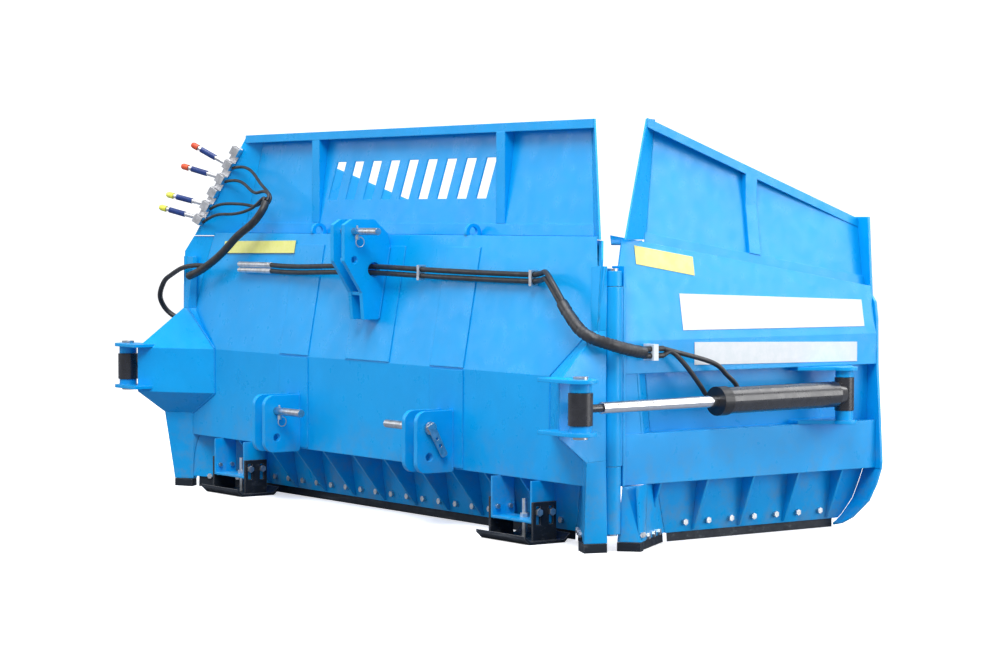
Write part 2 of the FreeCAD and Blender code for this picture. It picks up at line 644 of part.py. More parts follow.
def make_shoe():
    """Wear shoe with slotted ears outside the bracket and turned-up toes."""
    x, half, skin = "size.skid_x", "size.skid_half", "size.skid_plate"
    base = "size.shoe_base"
    rise = 20
    run = 22
    profile = [("-size.shoe_rear", rise), (f"-size.shoe_rear + {run}", 0), (f"size.shoe_front - {run}", 0),
               ("size.shoe_front", rise), ("size.shoe_front", plus(rise, base)),
               (f"size.shoe_front - {run} - 2", base), (f"-size.shoe_rear + {run} + 2", base),
               ("-size.shoe_rear", plus(rise, base))]
    sole = plate("shoe_sole", "YZ_Plane", profile, f"{x} - size.shoe_half", "2 * size.shoe_half")
    ears = []
    ear = [(-98, base), (-98, "size.shoe_ear_high"), (-2, "size.shoe_ear_high"), (-2, base)]
    for start in (f"{x} - {half} - {skin} - 1", f"{x} + {half} + 1"):
        blank = plate("shoe_ear", "YZ_Plane", ear, start, skin)
        slots = []
        for middle in (-76, -24):
            slots.append(plate("ear_slot", "YZ_Plane",
                               [(middle - 8.5, 62), (middle + 8.5, 62), (middle + 8.5, 122),
                                (middle - 8.5, 122)], f"{start} - 5", f"{skin} + 10"))
        ears.append(cut("slotted_ear", blank, *slots))
    return fuse("shoe", sole, *ears)


def make_skid_screw():
    """Height screw that stands on the shoe and passes through the bracket's floor."""
    return rod("skid_screw", "size.skid_x", "-size.skid_screw_lag", "size.shoe_base",
               "size.skid_screw_radius", 126)


def hexagon(name, x, y, z, radius, height, turn):
    """Hexagon nut or bolt head."""
    prism = doc.addObject("Part::Prism", name)
    prism.Polygon = 6
    bind(prism, Circumradius=radius, Height=height)
    bind(prism, Placement=f"placement(vector({x}; {y}; {z}); {turn})")
    return prism


def make_corner_nuts():
    """Nuts behind the right-hand corner bar."""
    nuts = [hexagon("corner_nut", along, "-size.nut_height", "size.corner_nut_level", "size.nut_radius",
                    "size.nut_height", ALONG_Y) for along in (90, 150, 210)]
    nut_row = group("corner_nuts", *nuts)
    bind(nut_row, Placement=lower_mitre)
    return nut_row


def make_frame_bolts(corner_nuts):
    """Nuts along the cutting edge and the bolts of the skid brackets."""
    pieces = []
    for number in range(-9, 10):
        x = f"{number} * size.nut_pitch + 50"
        pieces.append(hexagon("edge_nut", x, "size.board_edge - 24", "size.nut_level", "size.nut_radius", 30,
                              ALONG_Y))
    nuts = [cut("edge_nuts", group("edge_nut_row", *pieces), board_back)]
    skid = []
    for y in (-76, -24):
        for start, face in (("-size.skid_half", -1), ("size.skid_half", 1)):
            shank = "size.skid_plate * 2 + 14"
            if face > 0:
                x = f"size.skid_x + {start} - size.skid_plate - 9"
                head = f"size.skid_x + {start} + size.skid_plate + 2"
            else:
                x = f"size.skid_x + {start} - size.skid_plate - 5"
                head = f"size.skid_x + {start} - size.skid_plate - 12"
            stem = rod("skid_stem", x, y, "size.skid_bolt_level", 8, shank, ALONG_X)
            cap = hexagon("skid_cap", head, y, "size.skid_bolt_level", 13, 10, ALONG_X)
            skid.append(fuse("skid_bolt", stem, cap))
    nut = hexagon("screw_nut", "size.skid_x", "-size.skid_screw_lag", "size.skid_low + size.skid_plate", 15, 14,
                  "rotation(0; 0; 0)")
    screw_space = rod("screw_space", "size.skid_x", "-size.skid_screw_lag", 0,
                      "size.skid_screw_radius + 0.3", 400)
    skid.append(cut("screw_nut_bored", nut, screw_space))
    skid_pair = both_ends("skid_bolts", group("right_skid_bolts", *skid))
    node("frame_bolts", group("bolts", *nuts, both_ends("corner_nut_pair", corner_nuts), skid_pair))


# Wings ---------------------------------------------------------------------------------------------

def wing_spans():
    """Start and length of the parts that run the wing's whole reach."""
    return "size.wing_start", "size.wing_end - size.wing_start"


def make_wing_board(over_top, corner_cut):
    """Curved sheet of the right-hand wing."""
    ring = cut("wing_ring", wing_back, wing_face)
    start, length = wing_spans()
    window = plate("wing_window", "XZ_Plane",
                   wing_outline([(0, "size.board_low"), (400, "size.board_low"), (400, "size.board_high"),
                                 (0, "size.board_high")]), start, length)
    sheet = common("wing_sheet", ring, window)
    wing_node("wing_mouldboard", cut("wing_board", sheet, wing_lower_corner, over_top, corner_cut))


def wing_slope(level):
    """Lead of the wing box's outer skin above its crease."""
    return f"({level} - size.wing_crease) * size.wing_slope"


def make_skin_region():
    """Everything up to the inner face of the wing's rear skins, which run on to the hinge."""
    skin = "size.casing_plate"
    outline = wing_outline([(-200, "size.casing_low"), (-200, 1200), (plus(wing_slope(1200), skin), 1200),
                            (skin, "size.wing_crease"), (skin, "size.casing_low")])
    return plate("skin_region", "XZ_Plane", outline, 0, 400)


def make_wing_beam():
    """Lower box beam: floor, rear face and shelf."""
    skin = "size.casing_plate"
    start, length = wing_spans()
    outline = wing_outline([
        (0, "size.casing_low"), (0, "size.beam_high"), (120, "size.beam_high"),
        (120, f"size.beam_high - {skin}"), (skin, f"size.beam_high - {skin}"),
        (skin, f"size.casing_low + {skin}"), (120, f"size.casing_low + {skin}"), (120, "size.casing_low")])
    beam = plate("wing_beam_skin", "XZ_Plane", outline, start, length)
    return cut("wing_beam", beam, wing_back, behind_mitre)


def make_wing_box(above_lip, over_ledge, under_ledge):
    """Upper box: shelf underneath, rear band, sloping skin with a lip, and the falling ledge."""
    skin = "size.casing_plate"
    start, length = wing_spans()
    low, high = "size.wing_crease + 60", 1060
    outline = wing_outline([
        (0, "size.recess_high"), (0, "size.wing_crease"), (wing_slope(high), high),
        (plus(wing_slope(high), skin), high), (skin, "size.wing_crease - 1"),
        (skin, f"size.recess_high + {skin}"), (120, f"size.recess_high + {skin}"), (120, "size.recess_high")])
    shell = cut("wing_shell", plate("wing_shell_skin", "XZ_Plane", outline, start, length), above_lip)
    ledge_block = plate("wing_ledge_block", "XZ_Plane",
                        wing_outline([(plus(wing_slope(low), skin), low), (plus(wing_slope(high), skin), high),
                                      (120, high), (120, low)]), start, length)
    ledge = cut("wing_ledge", ledge_block, over_ledge, under_ledge)
    box = fuse("wing_box_weld", shell, ledge)
    hinge_corner = plate("wing_box_hinge_corner", "YZ_Plane", [(0, 903), (60, 903), (92, 1010), (0, 1010)],
                         "size.hinge_x - 60", 200)
    return cut("wing_box", box, wing_back, behind_mitre, hinge_corner)


def make_wing_extension(over_extension, over_ledge):
    """Raked sheet above the wing's mouldboard, with a falling top edge."""
    low, high, skin = 760, 1480, "size.ext_plate"
    start, length = wing_spans()
    outline = wing_outline([(rake(low), low), (plus(rake(low), skin), low), (plus(rake(high), skin), high),
                            (rake(high), high)])
    sheet = plate("wing_extension_sheet", "XZ_Plane", outline, start, length)
    below = doc.addObject("Part::Common", "wing_extension_keep")
    below.Base = sheet
    below.Tool = over_ledge
    panel = cut("wing_extension", below, over_extension, wing_upper_corner)
    wing_node("wing_extension_panel", panel)
    return sheet


def make_wing_frame(over_extension, sheet):
    """Falling top flange, bottom rail and one upright on the wing's extension."""
    start, length = wing_spans()
    rear, skin = "size.flange_rear", "size.ext_plate"
    drop = above_line("flange_cap", "size.ext_high + size.ext_plate", "size.wing_ext_fall",
                      "size.wing_ext_reach - size.wing_start")
    lip_low = above_line("flange_lip_low", "size.ext_high + size.ext_plate - size.flange_drop",
                         "size.wing_ext_fall", "size.wing_ext_reach - size.wing_start")
    lip = plate("flange_lip", "XZ_Plane",
                wing_outline([(rear, 900), (plus(rear, skin), 900), (plus(rear, skin), 1600), (rear, 1600)]),
                start, length)
    lip = cut("flange_lip_band", common("flange_lip_up", lip, lip_low), drop)
    deck = plate("flange_deck", "XZ_Plane",
                 wing_outline([(plus(rear, skin), 900), (plus(rake(900), skin), 900),
                               (plus(rake(1480), skin), 1480), (plus(rear, skin), 1480)]), start, length)
    deck = cut("flange_deck_band", common("flange_deck_up", deck, over_extension), drop)
    flange = cut("flange", fuse("flange_weld", lip, deck), wing_upper_corner, sheet)
    rail_low = above_line("rail_low_line", "size.wing_ledge + size.wing_lip", "size.wing_fall")
    rail_high = above_line("rail_high_line", "size.wing_ledge + size.wing_lip + 34", "size.wing_fall")
    rail = plate("wing_rail", "XZ_Plane",
                 wing_outline([(f"{rake(760)} - 9", 760), (rake(760), 760), (rake(1480), 1480),
                               (f"{rake(1480)} - 9", 1480)]), start, length)
    rail = cut("wing_rail_band", common("wing_rail_up", rail, rail_low), rail_high, wing_upper_corner, sheet)
    upright = plate("wing_upright", "XZ_Plane",
                    wing_outline([(f"{rake(900)} - 12", 900), (rake(900), 900), (rake(1400), 1400),
                                  (rear, 1400), (rear, 1100)]),
                    "size.wing_ext_rib", "size.ext_rib_width")
    channel = cut("wing_upright_trim", common("upright_up", upright, rail_high), lip_low, sheet)
    wing_node("wing_extension_frame", group("wing_bars", flange, rail, channel))


def make_wing_side():
    """Outer end plate that stands proud of the wing's rear face."""
    outline = wing_outline([
        (-23, "size.side_low"), (-26, 225), (-16, 372), (-2, 558), (1, 714), (10, 772), (29, 795), (46, 1062),
        (142, 1062), (102, "size.board_high"), (64, 740), (58, "size.board_centre"), (66, 300),
        (78, "size.side_low")])
    wing_node("wing_side_plate", plate("side_plate", "XZ_Plane", outline, "size.wing_end", "size.side_plate"))


def make_wing_post(wing_corner, wing_shoe):
    """End plate, foot and long hinge tube at the wing's inner end."""
    tube = rod("wing_tube", "size.hinge_x", 0, "size.knuckle_mid + 1", "size.tube_radius",
               "size.knuckle_top - size.knuckle_mid - 2")
    web = plate("wing_web", "XY_Plane",
                [(lead(10), "size.post_front"), (lead(-14), "size.post_front"),
                 (lead(-14), 12), (lead(10), 12)],
                "size.knuckle_mid + 1", "size.knuckle_top - size.knuckle_mid - 2")
    bore = rod("wing_bore", "size.hinge_x", 0, 0, "size.pin_radius + size.running_fit", 1000)
    knuckle = cut("wing_knuckle", fuse("wing_knuckle_weld", tube, web), bore)
    front, inner = "size.post_front", "size.wing_start"
    low, height = "size.casing_low", "size.post_top - size.casing_low"
    cheek = plate("wing_end_plate", "XY_Plane",
                  [(lead(-16), front), (lead(-16), inner), (lead(44), inner), (lead(44), front)], low, height)
    wedge = plate("wing_end_wedge", "XY_Plane",
                  [(lead(6), inner), (lead(6), 140), (lead(44), inner)], low, height)
    wedge = cut("wing_end_wedge_trim", common("wing_end_wedge_keep", wedge, wing_lower_corner), skin_region)
    post = cut("wing_end_trim", fuse("wing_end_weld", cheek, wedge), wing_corner)
    foot = tapered("wing_foot", "size.board_low", [(1322, 14), (1376, 66), (1345, 112), (1300, 60)],
                   "size.casing_low - 2", [(1322, front), (1326, 45), (1306, 150), (1288, 60)])
    swing_space = rod("swing_space", "size.hinge_x", 0, "size.knuckle_low - 1", "size.tube_radius + 1", 400)
    return knuckle, post, cut("wing_foot_trim", foot, swing_space, wing_corner, wing_shoe)


def make_wing_ribs():
    """Gussets under the wing's beam."""
    outline = wing_outline([(6, "size.casing_low - 1"), ("size.board_edge", "size.casing_low - 1"),
                            ("size.board_edge", "size.rib_foot"), ("size.board_edge - 18", "size.rib_foot")])
    ribs = []
    for number in range(5):
        start = f"size.wing_rib_first + {number} * size.rib_pitch - size.rib_plate / 2"
        ribs.append(plate("wing_rib", "XZ_Plane", outline, start, "size.rib_plate"))
    return cut("wing_ribs", group("wing_rib_row", *ribs), wing_back, wing_lower_corner)


def make_wing_edge():
    """Straight wear bar of the wing."""
    return plate("wing_edge_bar", "XZ_Plane",
                 wing_outline([("size.board_edge + 1", 0), ("size.board_edge + 1 + size.edge_plate", 0),
                               ("size.board_edge + 1 + size.edge_plate", "size.edge_height"),
                               ("size.board_edge + 1", "size.edge_height")]),
                 0, "size.chamfer_reach")


def make_wing_bolts(corner_nuts):
    """Nuts along the wing's cutting edge and behind its corner bar."""
    nuts = []
    for number in range(7):
        y = f"size.wing_nut_first + {number} * size.nut_pitch"
        nuts.append(hexagon("wing_nut", lead("size.board_edge - 24"), y, "size.nut_level", "size.nut_radius",
                            30, "rotation(0; -90; 0)"))
    row = cut("wing_nuts", group("wing_nut_row", *nuts), wing_back)
    wing_node("wing_bolts", group("wing_bolt_set", row, to_wing("wing_corner_nuts", corner_nuts)))


def make_chamfer():
    """Bent plate that closes the cut lower corner at the outer end, and the space beyond it."""
    outer = [("size.chamfer_reach", 7), (1060, 14), (1085, 35), (1130, 92), (1150, 150),
             ("size.wing_end + size.side_plate", "size.side_low")]
    inner = [("size.wing_end + size.side_plate - 8", "size.side_low"), (1142, 152), (1122, 96), (1080, 42),
             (1057, 22), ("size.chamfer_reach", 15)]
    bend = plate("chamfer_bend", "YZ_Plane", outer + inner, 1000, 600)
    shape = plate("chamfer_shape", "XZ_Plane",
                  wing_outline([(-23, "size.side_low"), (-18, 150), (-2, 92), (30, 35), (57, 14), (89, 6),
                                ("size.board_edge", 6), (78, "size.side_low")]), 1000, 300)
    strip = common("chamfer_strip", bend, shape)
    edge = [(f"{across} - 1", f"{up} + 1") for across, up in reversed(inner)]
    space = plate("chamfer_space", "YZ_Plane",
                  [(1035, 0), (1300, 0), (1300, "size.side_low + 1")] + edge[::-1] + [(1035, 16)], 1000, 600)
    return strip, space


def make_wing_lugs():
    """Lug plates, pads and the fixed pin for the barrel's base."""
    x, y = lead("size.barrel_pin_lead"), "size.barrel_pin_reach"
    radius, skin = "size.wing_lug_radius", "size.lug_plate"
    lugs = []
    bore = rod("wing_lug_bore", x, y, 300, "size.cylinder_pin_radius + size.running_fit", 400)
    for low in ("size.beam_high + 0.5", f"size.recess_high - 0.5 - {skin}"):
        arm = plate("wing_lug_arm", "XY_Plane",
                    [(lead(100), f"{y} - 150"), (lead(0), f"{y} - 150"), (x, f"{y} - {radius}"),
                     (x, f"{y} + {radius}"), (lead(0), f"{y} + 90"), (lead(100), f"{y} + 90")], low, skin)
        disc = rod("wing_lug_disc", x, y, low, radius, skin)
        lugs.append(cut("wing_lug", fuse("wing_lug_weld", arm, disc), wing_back, bore))
    half = "(size.base_eye_height / 2 + size.eye_gap)"
    low_pad = f"size.beam_high + 0.5 + {skin}"
    high_pad = f"size.cylinder_level + {half}"
    pads = [rod("wing_low_pad", x, y, low_pad, 30, f"size.cylinder_level - {half} - ({low_pad})"),
            rod("wing_high_pad", x, y, high_pad, 30, f"size.recess_high - 0.5 - {skin} - ({high_pad})")]
    lugs += [cut("wing_pad", pad, bore) for pad in pads]
    pin = rod("barrel_pin_bar", x, y, "size.beam_high + 1", "size.cylinder_pin_radius",
              "size.recess_high - size.beam_high - 2")
    wing_node("cylinder_lugs", group("wing_lugs", *lugs, pin))


def make_cylinder():
    """Hydraulic cylinder of the right-hand wing, from the barrel's base pin to the rod's eye."""
    frame = ("placement(vector(size.hinge_x - size.barrel_pin_lead; size.barrel_pin_reach;"
             " size.cylinder_level); rotation(size.barrel_yaw; 0; 0))")
    base_x, base_y = lead("size.barrel_pin_lead"), "size.barrel_pin_reach"
    end = "size.barrel_length"
    barrel = turned("barrel_tube", [
        (20, 0), (20, "size.barrel_radius - 6"), (52, "size.barrel_radius"), (end, "size.barrel_radius"),
        (end, "size.barrel_bore + 0.5"), (60, "size.barrel_bore + 0.5"), (60, 0)], frame)
    eye_low = "size.cylinder_level - size.base_eye_height / 2"
    eye = rod("base_eye", base_x, base_y, eye_low, "size.base_eye_radius", "size.base_eye_height")
    bore = rod("base_bore", base_x, base_y, 300, "size.cylinder_pin_radius + size.running_fit + 0.02", 400)
    ports = []
    for along in ("size.port_near", "size.port_far"):
        port = rod("barrel_port", along, "-size.barrel_radius + 5", 0, "size.port_radius",
                   "size.port_top - size.barrel_radius + 5", "rotation(0; 0; 90)")
        placed = group("placed_port", port)
        bind(placed, Placement=frame)
        ports.append(placed)
    wing_barrel = cut("barrel", fuse("barrel_weld", barrel, eye, *ports), bore)
    gland = turned("gland_nut", [
        (f"{end} + 0.5", "size.rod_radius + size.running_fit"), (f"{end} + 0.5", "size.gland_radius"),
        (f"{end} + size.gland_length", "size.gland_radius"),
        (f"{end} + size.gland_length", "size.rod_radius + size.running_fit")], frame)
    wing_node("cylinder_barrel", group("barrel_and_gland", wing_barrel, gland))
    rod_end = "size.pin_distance - size.neck_length"
    stem = turned("rod_and_piston", [
        ("size.piston_start", 0), ("size.piston_start", "size.barrel_bore"),
        ("size.piston_end", "size.barrel_bore"), ("size.piston_end", "size.rod_radius"),
        (rod_end, "size.rod_radius"), (rod_end, 0)], frame)
    wing_node("cylinder_rod", stem)
    neck = turned("rod_neck", [
        (f"{rod_end} + 0.5", 0), (f"{rod_end} + 0.5", "size.neck_radius"),
        ("size.pin_distance - 30", "size.neck_radius"), ("size.pin_distance - 30", 0)], frame)
    tip_eye = rod("rod_eye_tube", "size.rod_pin_x", "-size.rod_pin_y",
                  "size.cylinder_level - size.eye_height / 2", "size.eye_radius", "size.eye_height")
    wing_node("rod_eye", fuse("rod_eye_weld", neck, tip_eye))


def make_hitch_pins():
    """Linkage pins with a flag handle outboard, and the linch pins that hold them."""
    for side, label in ((1, "right"), (-1, "left")):
        head_x = f"{side} * (size.hitch_x + size.hitch_outer + 4)"
        hitch_pin(f"{label}_lower_hitch_pin", head_x, -side, "-size.hitch_pin_lag", "size.hitch_pin_level",
                  "size.hitch_pin_radius", "size.hitch_pin_length")
    hitch_pin("top_link_pin", "-size.hitch_outer - 4", 1, "-size.top_pin_lag", "size.top_pin_level",
              "size.top_pin_radius", "size.top_pin_length")


def flag_outline(y, z):
    """Tapered flag handle that hangs from a pin's head, with its two small holes."""
    lean = "size.flag_lean * 1deg"

    def at(along, across):
        return (f"{y} + ({along}) * sin({lean}) + ({across}) * cos({lean})",
                f"{z} - ({along}) * cos({lean}) + ({across}) * sin({lean})")

    outline = [at(-14, -15), at(-14, 15), at("size.flag_length - 6", 13), at("size.flag_length", 8),
               at("size.flag_length", -8), at("size.flag_length - 6", -13)]
    holes = [at(40, 0) + (5,), at(68, 0) + (6.5,)]
    return outline, holes


def hitch_pin(name, head_x, way, y, z, radius, length):
    """One pin with a flagged head, and a linch pin with a spring ring through it."""
    turn = "rotation(0; -90; 0)" if way < 0 else ALONG_X
    shank = rod(f"{name}_shank", head_x, y, z, radius, length, turn)
    collar = rod(f"{name}_collar", f"{head_x} - ({way}) * 8", y, z, plus(radius, 8), 8, turn)
    outline, holes = flag_outline(y, z)
    flag_start = f"{head_x} + 8" if way < 0 else f"{head_x} - 14"
    flag = plate(f"{name}_flag", "YZ_Plane", outline, flag_start, 6, holes)
    hole_x = f"{head_x} + ({way}) * (2 * size.hitch_outer + 4 + 18)"
    hole = rod(f"{name}_hole", hole_x, y, f"{z} - 60", 4.05, 120)
    node(name, cut(f"{name}_bored", fuse(f"{name}_body", shank, collar, flag), hole))
    stem = rod(f"{name}_linch_stem", hole_x, y, f"{z} - {radius} - 10", 4, f"2 * {radius} + 18")
    knob = rod(f"{name}_linch_knob", hole_x, y, f"{z} - {radius} - 16", 8, 14)
    ring = doc.addObject("Part::Torus", f"{name}_linch_ring")
    bind(ring, Radius1="17", Radius2="2.2")
    bind(ring, Placement=f"placement(vector({hole_x}; {y} + 12; {z} - {radius} - 25); rotation(90; 0; 90))")
    node(f"{name.replace('_pin', '')}_linch_pin", fuse(f"{name}_linch", stem, knob, ring))


# Hydraulic hoses and couplers ----------------------------------------------------------------------

HOLDER = (
    "placement(vector(-(size.turn_x + size.mitre_shift * sin(size.mitre_angle * 1deg)"
    " + 78 * cos(size.mitre_angle * 1deg)); size.board_edge + size.mitre_shift"
    " * cos(size.mitre_angle * 1deg) - 78 * sin(size.mitre_angle * 1deg) - 9; size.ext_high);"
    " rotation(180 + size.mitre_angle; 58.6; 0))"
)


def make_couplers():
    """Holder rail, blocks, quick couplers and dust caps along the left-hand slanted edge."""
    low = "size.holder_low"
    rail = plate("holder_rail", "XY_Plane", [(44, -7.4), (394, -7.4), (394, -2), (44, -2)], low,
                 "size.holder_block", placement=HOLDER)
    blocks = [rail]
    for number in range(6):
        middle = f"{number} * size.holder_pitch + size.holder_first"
        half = "size.holder_block / 2"
        blocks.append(plate("holder_block", "XY_Plane",
                            [(f"{middle} - {half}", -2), (f"{middle} + {half}", -2),
                             (f"{middle} + {half}", 28), (f"{middle} - {half}", 28)],
                            low, "size.holder_block", placement=HOLDER))
    node("coupler_holder", group("holder", *blocks))
    body = [(0, 3), (8, 3), (8, 46), ("size.coupler_radius", 46), ("size.coupler_radius", 115), (8, 115),
            (8, 129), (0, 129)]
    cap = [(0, 130), (12, 130), (12, 152), (8, 160), (0, 160)]
    droops = {1: 4, 2: 16, 4: 18, 5: 17}
    tubes = [coupler_turn("coupler", number, droop, body) for number, droop in droops.items()]
    caps = [coupler_turn("coupler_cap", number, droop, cap) for number, droop in droops.items()]
    node("couplers", group("coupler_set", *tubes))
    node("coupler_caps", group("cap_set", *caps))
    return rail


def coupler_turn(name, number, droop, outline):
    """Round piece that leaves a holder block at a droop angle, from (radius, along) points."""
    across, ahead = f"sin({droop} * 1deg)", f"cos({droop} * 1deg)"
    middle = f"{number} * size.holder_pitch + size.holder_first"
    face = "size.holder_low + size.holder_block"

    def at(radius, along):
        return (f"{middle} + ({along}) * {across} + ({radius}) * {ahead}",
                f"{face} + ({along}) * {ahead} - ({radius}) * {across}")

    body = doc.addObject("PartDesign::Body", name)
    points = [at(radius, along) for radius, along in outline]
    sketch = polygon_sketch(body, "XZ_Plane", points, offset="-size.coupler_offset")
    near, far = FreeCAD.Vector(5, -200, 0), FreeCAD.Vector(5, 200, 0)
    axis = sketch.addGeometry(Part.LineSegment(near, far), True)
    bind_point(sketch, axis, 1, *at(0, -200), near)
    bind_point(sketch, axis, 2, *at(0, 200), far)
    lathe = body.newObject("PartDesign::Revolution", "Turn")
    lathe.Profile = sketch
    lathe.ReferenceAxis = (sketch, ["Axis0"])
    bind(body, Placement=HOLDER)
    return body


def hose(name, radius, points):
    """Bent hose of round section through a row of points."""
    path = Part.BSplineCurve()
    path.interpolate([FreeCAD.Vector(*point) for point in points])
    spine = Part.Wire([path.toShape()])
    start = path.value(path.FirstParameter)
    direction = path.tangent(path.FirstParameter)[0]
    ring = Part.Wire([Part.Circle(start, direction, radius).toShape()])
    feature = doc.addObject("Part::Feature", name)
    feature.Shape = spine.makePipeShell([ring], True, True)
    return feature


SLEEVE_PATH = [(-778, -10, 1110), (-771, -30, 1080), (-802, -48, 1038), (-885, -59, 993), (-985, -67, 930),
               (-1075, -76, 880), (-1218, -92, 827)]
SUPPLY_PATH = [(-700, -30, 866), (-460, -40, 864), (-262, -54, 869), (-46, -62, 872), (46, -62, 872),
               (313, -40, 866), (609, -30, 861), (944, -30, 859)]
CLAMP_PLACES = (5, 7)
COUPLER_PATHS = {
    1: [(-991, 55, 1236), (-880, 32, 1184), (-806, 20, 1150), (-781, 14.5, 1130), (-775.2, 0.6, 1109.3)],
    2: [(-1006, 35, 1184), (-870, 10, 1150), (-800, 6, 1152), (-775.2, 3.2, 1138), (-769.8, -7.8, 1120)],
    4: [(-1042, 2, 1109), (-924, 2, 1103), (-836, 4, 1110), (-793.7, 6.8, 1128.5), (-787.4, -6.1, 1109.3)],
    5: [(-1092, -20, 1068), (-968, -30, 1070), (-868, -22, 1088), (-818, -17, 1112), (-791, -8, 1130),
        (-784.2, -16.4, 1117.1)],
}


def make_coupler_hoses(rail):
    """Four thin hoses from the holder's blocks to the mouth of the thick sleeve."""
    doc.recompute()
    hoses = []
    for number, path in COUPLER_PATHS.items():
        middle = number * DIMENSIONS["holder_pitch"] + DIMENSIONS["holder_first"]
        root = rail.Placement.multVec(FreeCAD.Vector(middle, 13, DIMENSIONS["holder_low"] - 6))
        hoses.append(hose("coupler_hose", DIMENSIONS["coupler_hose_radius"], [tuple(root), *path]))
    return hoses


def make_hoses(rail):
    """Hoses, sleeve, fittings and clamps that stay on the centre section."""
    radius, split = DIMENSIONS["hose_radius"], DIMENSIONS["hose_split"]
    runs = make_coupler_hoses(rail)
    runs.append(hose("sleeve", DIMENSIONS["sleeve_radius"], SLEEVE_PATH))
    for side in (-1, 1):
        points = [(x, y, z + side * split) for x, y, z in SUPPLY_PATH]
        runs.append(hose("supply_hose", radius, points))
    node("supply_hoses", group("hose_set", *runs))
    x, y, z = SUPPLY_PATH[0]
    pieces = []
    for side in (-1, 1):
        level = z + side * split
        pieces.append(rod("hose_fitting", x - 236, y, level, "size.fitting_radius", 215, ALONG_X))
        pieces.append(rod("fitting_collar", x - 20, y, level, "size.fitting_radius", 19, ALONG_X))
    for index in CLAMP_PLACES:
        x, y, z = SUPPLY_PATH[index]
        bores = [(y, z + side * split, "size.hose_radius + 1.5") for side in (-1, 1)]
        pieces.append(plate("hose_clamp", "YZ_Plane",
                            [(y - 14, z - 26), (y + 13, z - 26), (y + 17, z + 26), (y - 14, z + 26)],
                            x - 16, 14, bores))
    node("hose_clamps", group("clamp_set", *pieces))


def make_wing_hoses():
    """Clamp on the right-hand wing with the two hose ends it holds."""
    pieces = []
    x, level = 1345, 629
    bores = []
    for side in (-1, 1):
        z = f"{level} + {side} * size.hose_split"
        pieces.append(rod("wing_hose", x, 100, z, "size.hose_radius", 80, ALONG_Y))
        bores.append((x, z, "size.hose_radius + 0.2"))
    pieces.append(plate("wing_clamp", "XZ_Plane",
                        [("size.hinge_x", level - 26), (x + 16, level - 26), (x + 16, level + 26),
                         ("size.hinge_x", level + 26)], 128, 20, bores))
    wing_node("wing_hoses", group("wing_hose_set", *pieces))


# Build ---------------------------------------------------------------------------------------------

make_mouldboard()
corner_low, corner_high, wing_corner_source = make_corner_plates()
node("corner_plates", group("corner_plate_set", both_ends("corner_lows", corner_low),
                            both_ends("corner_highs", corner_high)))
casing_space = make_casing()
node("doubler_plates", make_doublers())
make_extension()
make_extension_frame()
make_ribs()
corner_edge, post_shoe = make_edges()
node("corner_edges", group("corner_edge_set", both_ends("corner_bars", corner_edge),
                           both_ends("post_shoes", post_shoe)))
anchor, post, head = make_posts(casing_space, corner_low)
rod_lugs, rod_heads = make_rod_lugs(anchor)
node("cylinder_anchors", both_ends("anchors", group("anchor_set", anchor, rod_lugs)))
node("hinge_posts", both_ends("hinge_post_set", make_knuckles([post, head], corner_low)))
hinge_bar = rod("hinge_bar", "size.hinge_x", 0, "size.pin_low", "size.pin_radius",
                "size.pin_high - size.pin_low")
node("pivot_pins", both_ends("pivot_pin_set", group("right_pivot_pins", hinge_bar, rod_heads)))
make_lower_hitches()
make_top_hitch()
make_lifting_eyes()
node("skid_brackets", both_ends("skid_bracket_set", make_skid("right_skid")))
wing_node("skid_shoe", group("shoe_set", make_shoe(), make_skid_screw()))
corner_nuts = make_corner_nuts()
make_frame_bolts(corner_nuts)

over_top = above_line("over_top", "size.wing_ledge + 2", "size.wing_fall")
over_ledge = above_line("over_ledge", "size.wing_ledge", "size.wing_fall")
over_lip = above_line("over_lip", "size.wing_ledge + size.wing_lip", "size.wing_fall")
near, far = wing_line("size.wing_ledge - size.casing_plate", "size.wing_fall")
under_ledge = plate("under_ledge", "YZ_Plane", [(-FAR, near), (2000, far), (2000, -500), (-FAR, -500)], 0, 2000)
over_extension = above_line("over_extension", "size.ext_high", "size.wing_ext_fall",
                            "size.wing_ext_reach - size.wing_start")
chamfer, chamfer_space = make_chamfer()
make_wing_board(over_top, chamfer_space)
skin_region = make_skin_region()
behind_mitre = cut("behind_mitre", wing_lower_corner, skin_region)
wing_corner = cut("wing_corner_low", to_wing("wing_corner_mirrored", wing_corner_source), skin_region)
wing_node("wing_corner_plates",
          group("wing_corner_set", wing_corner, to_wing("wing_corner_high", corner_high)))
wing_node("wing_box",
          group("wing_box_set", make_wing_beam(), make_wing_box(over_lip, over_ledge, under_ledge)))
extension_sheet = make_wing_extension(over_extension, over_top)
make_wing_frame(over_extension, extension_sheet)
make_wing_side()
wing_shoe = to_wing("wing_shoe", corner_edge)
wing_node("wing_post", group("wing_post_set", *make_wing_post(wing_corner, wing_shoe)))
wing_node("wing_ribs", group("wing_rib_set", make_wing_ribs(), cut("chamfer", chamfer, wing_back)))
wing_bar = cut("wing_edge", make_wing_edge(), wing_lower_corner)
foot_shoe = plate("wing_foot_shoe", "XY_Plane", [(1320, 14), (1376, 66), (1362, 88), (1334, 69)],
                  0, "size.board_low - 1")
wing_node("wing_cutting_edge", group("wing_edge_set", wing_bar, wing_shoe, foot_shoe))
make_wing_bolts(corner_nuts)
make_wing_lugs()
make_cylinder()
make_hitch_pins()
holder_rail = make_couplers()
make_hoses(holder_rail)
make_wing_hoses()

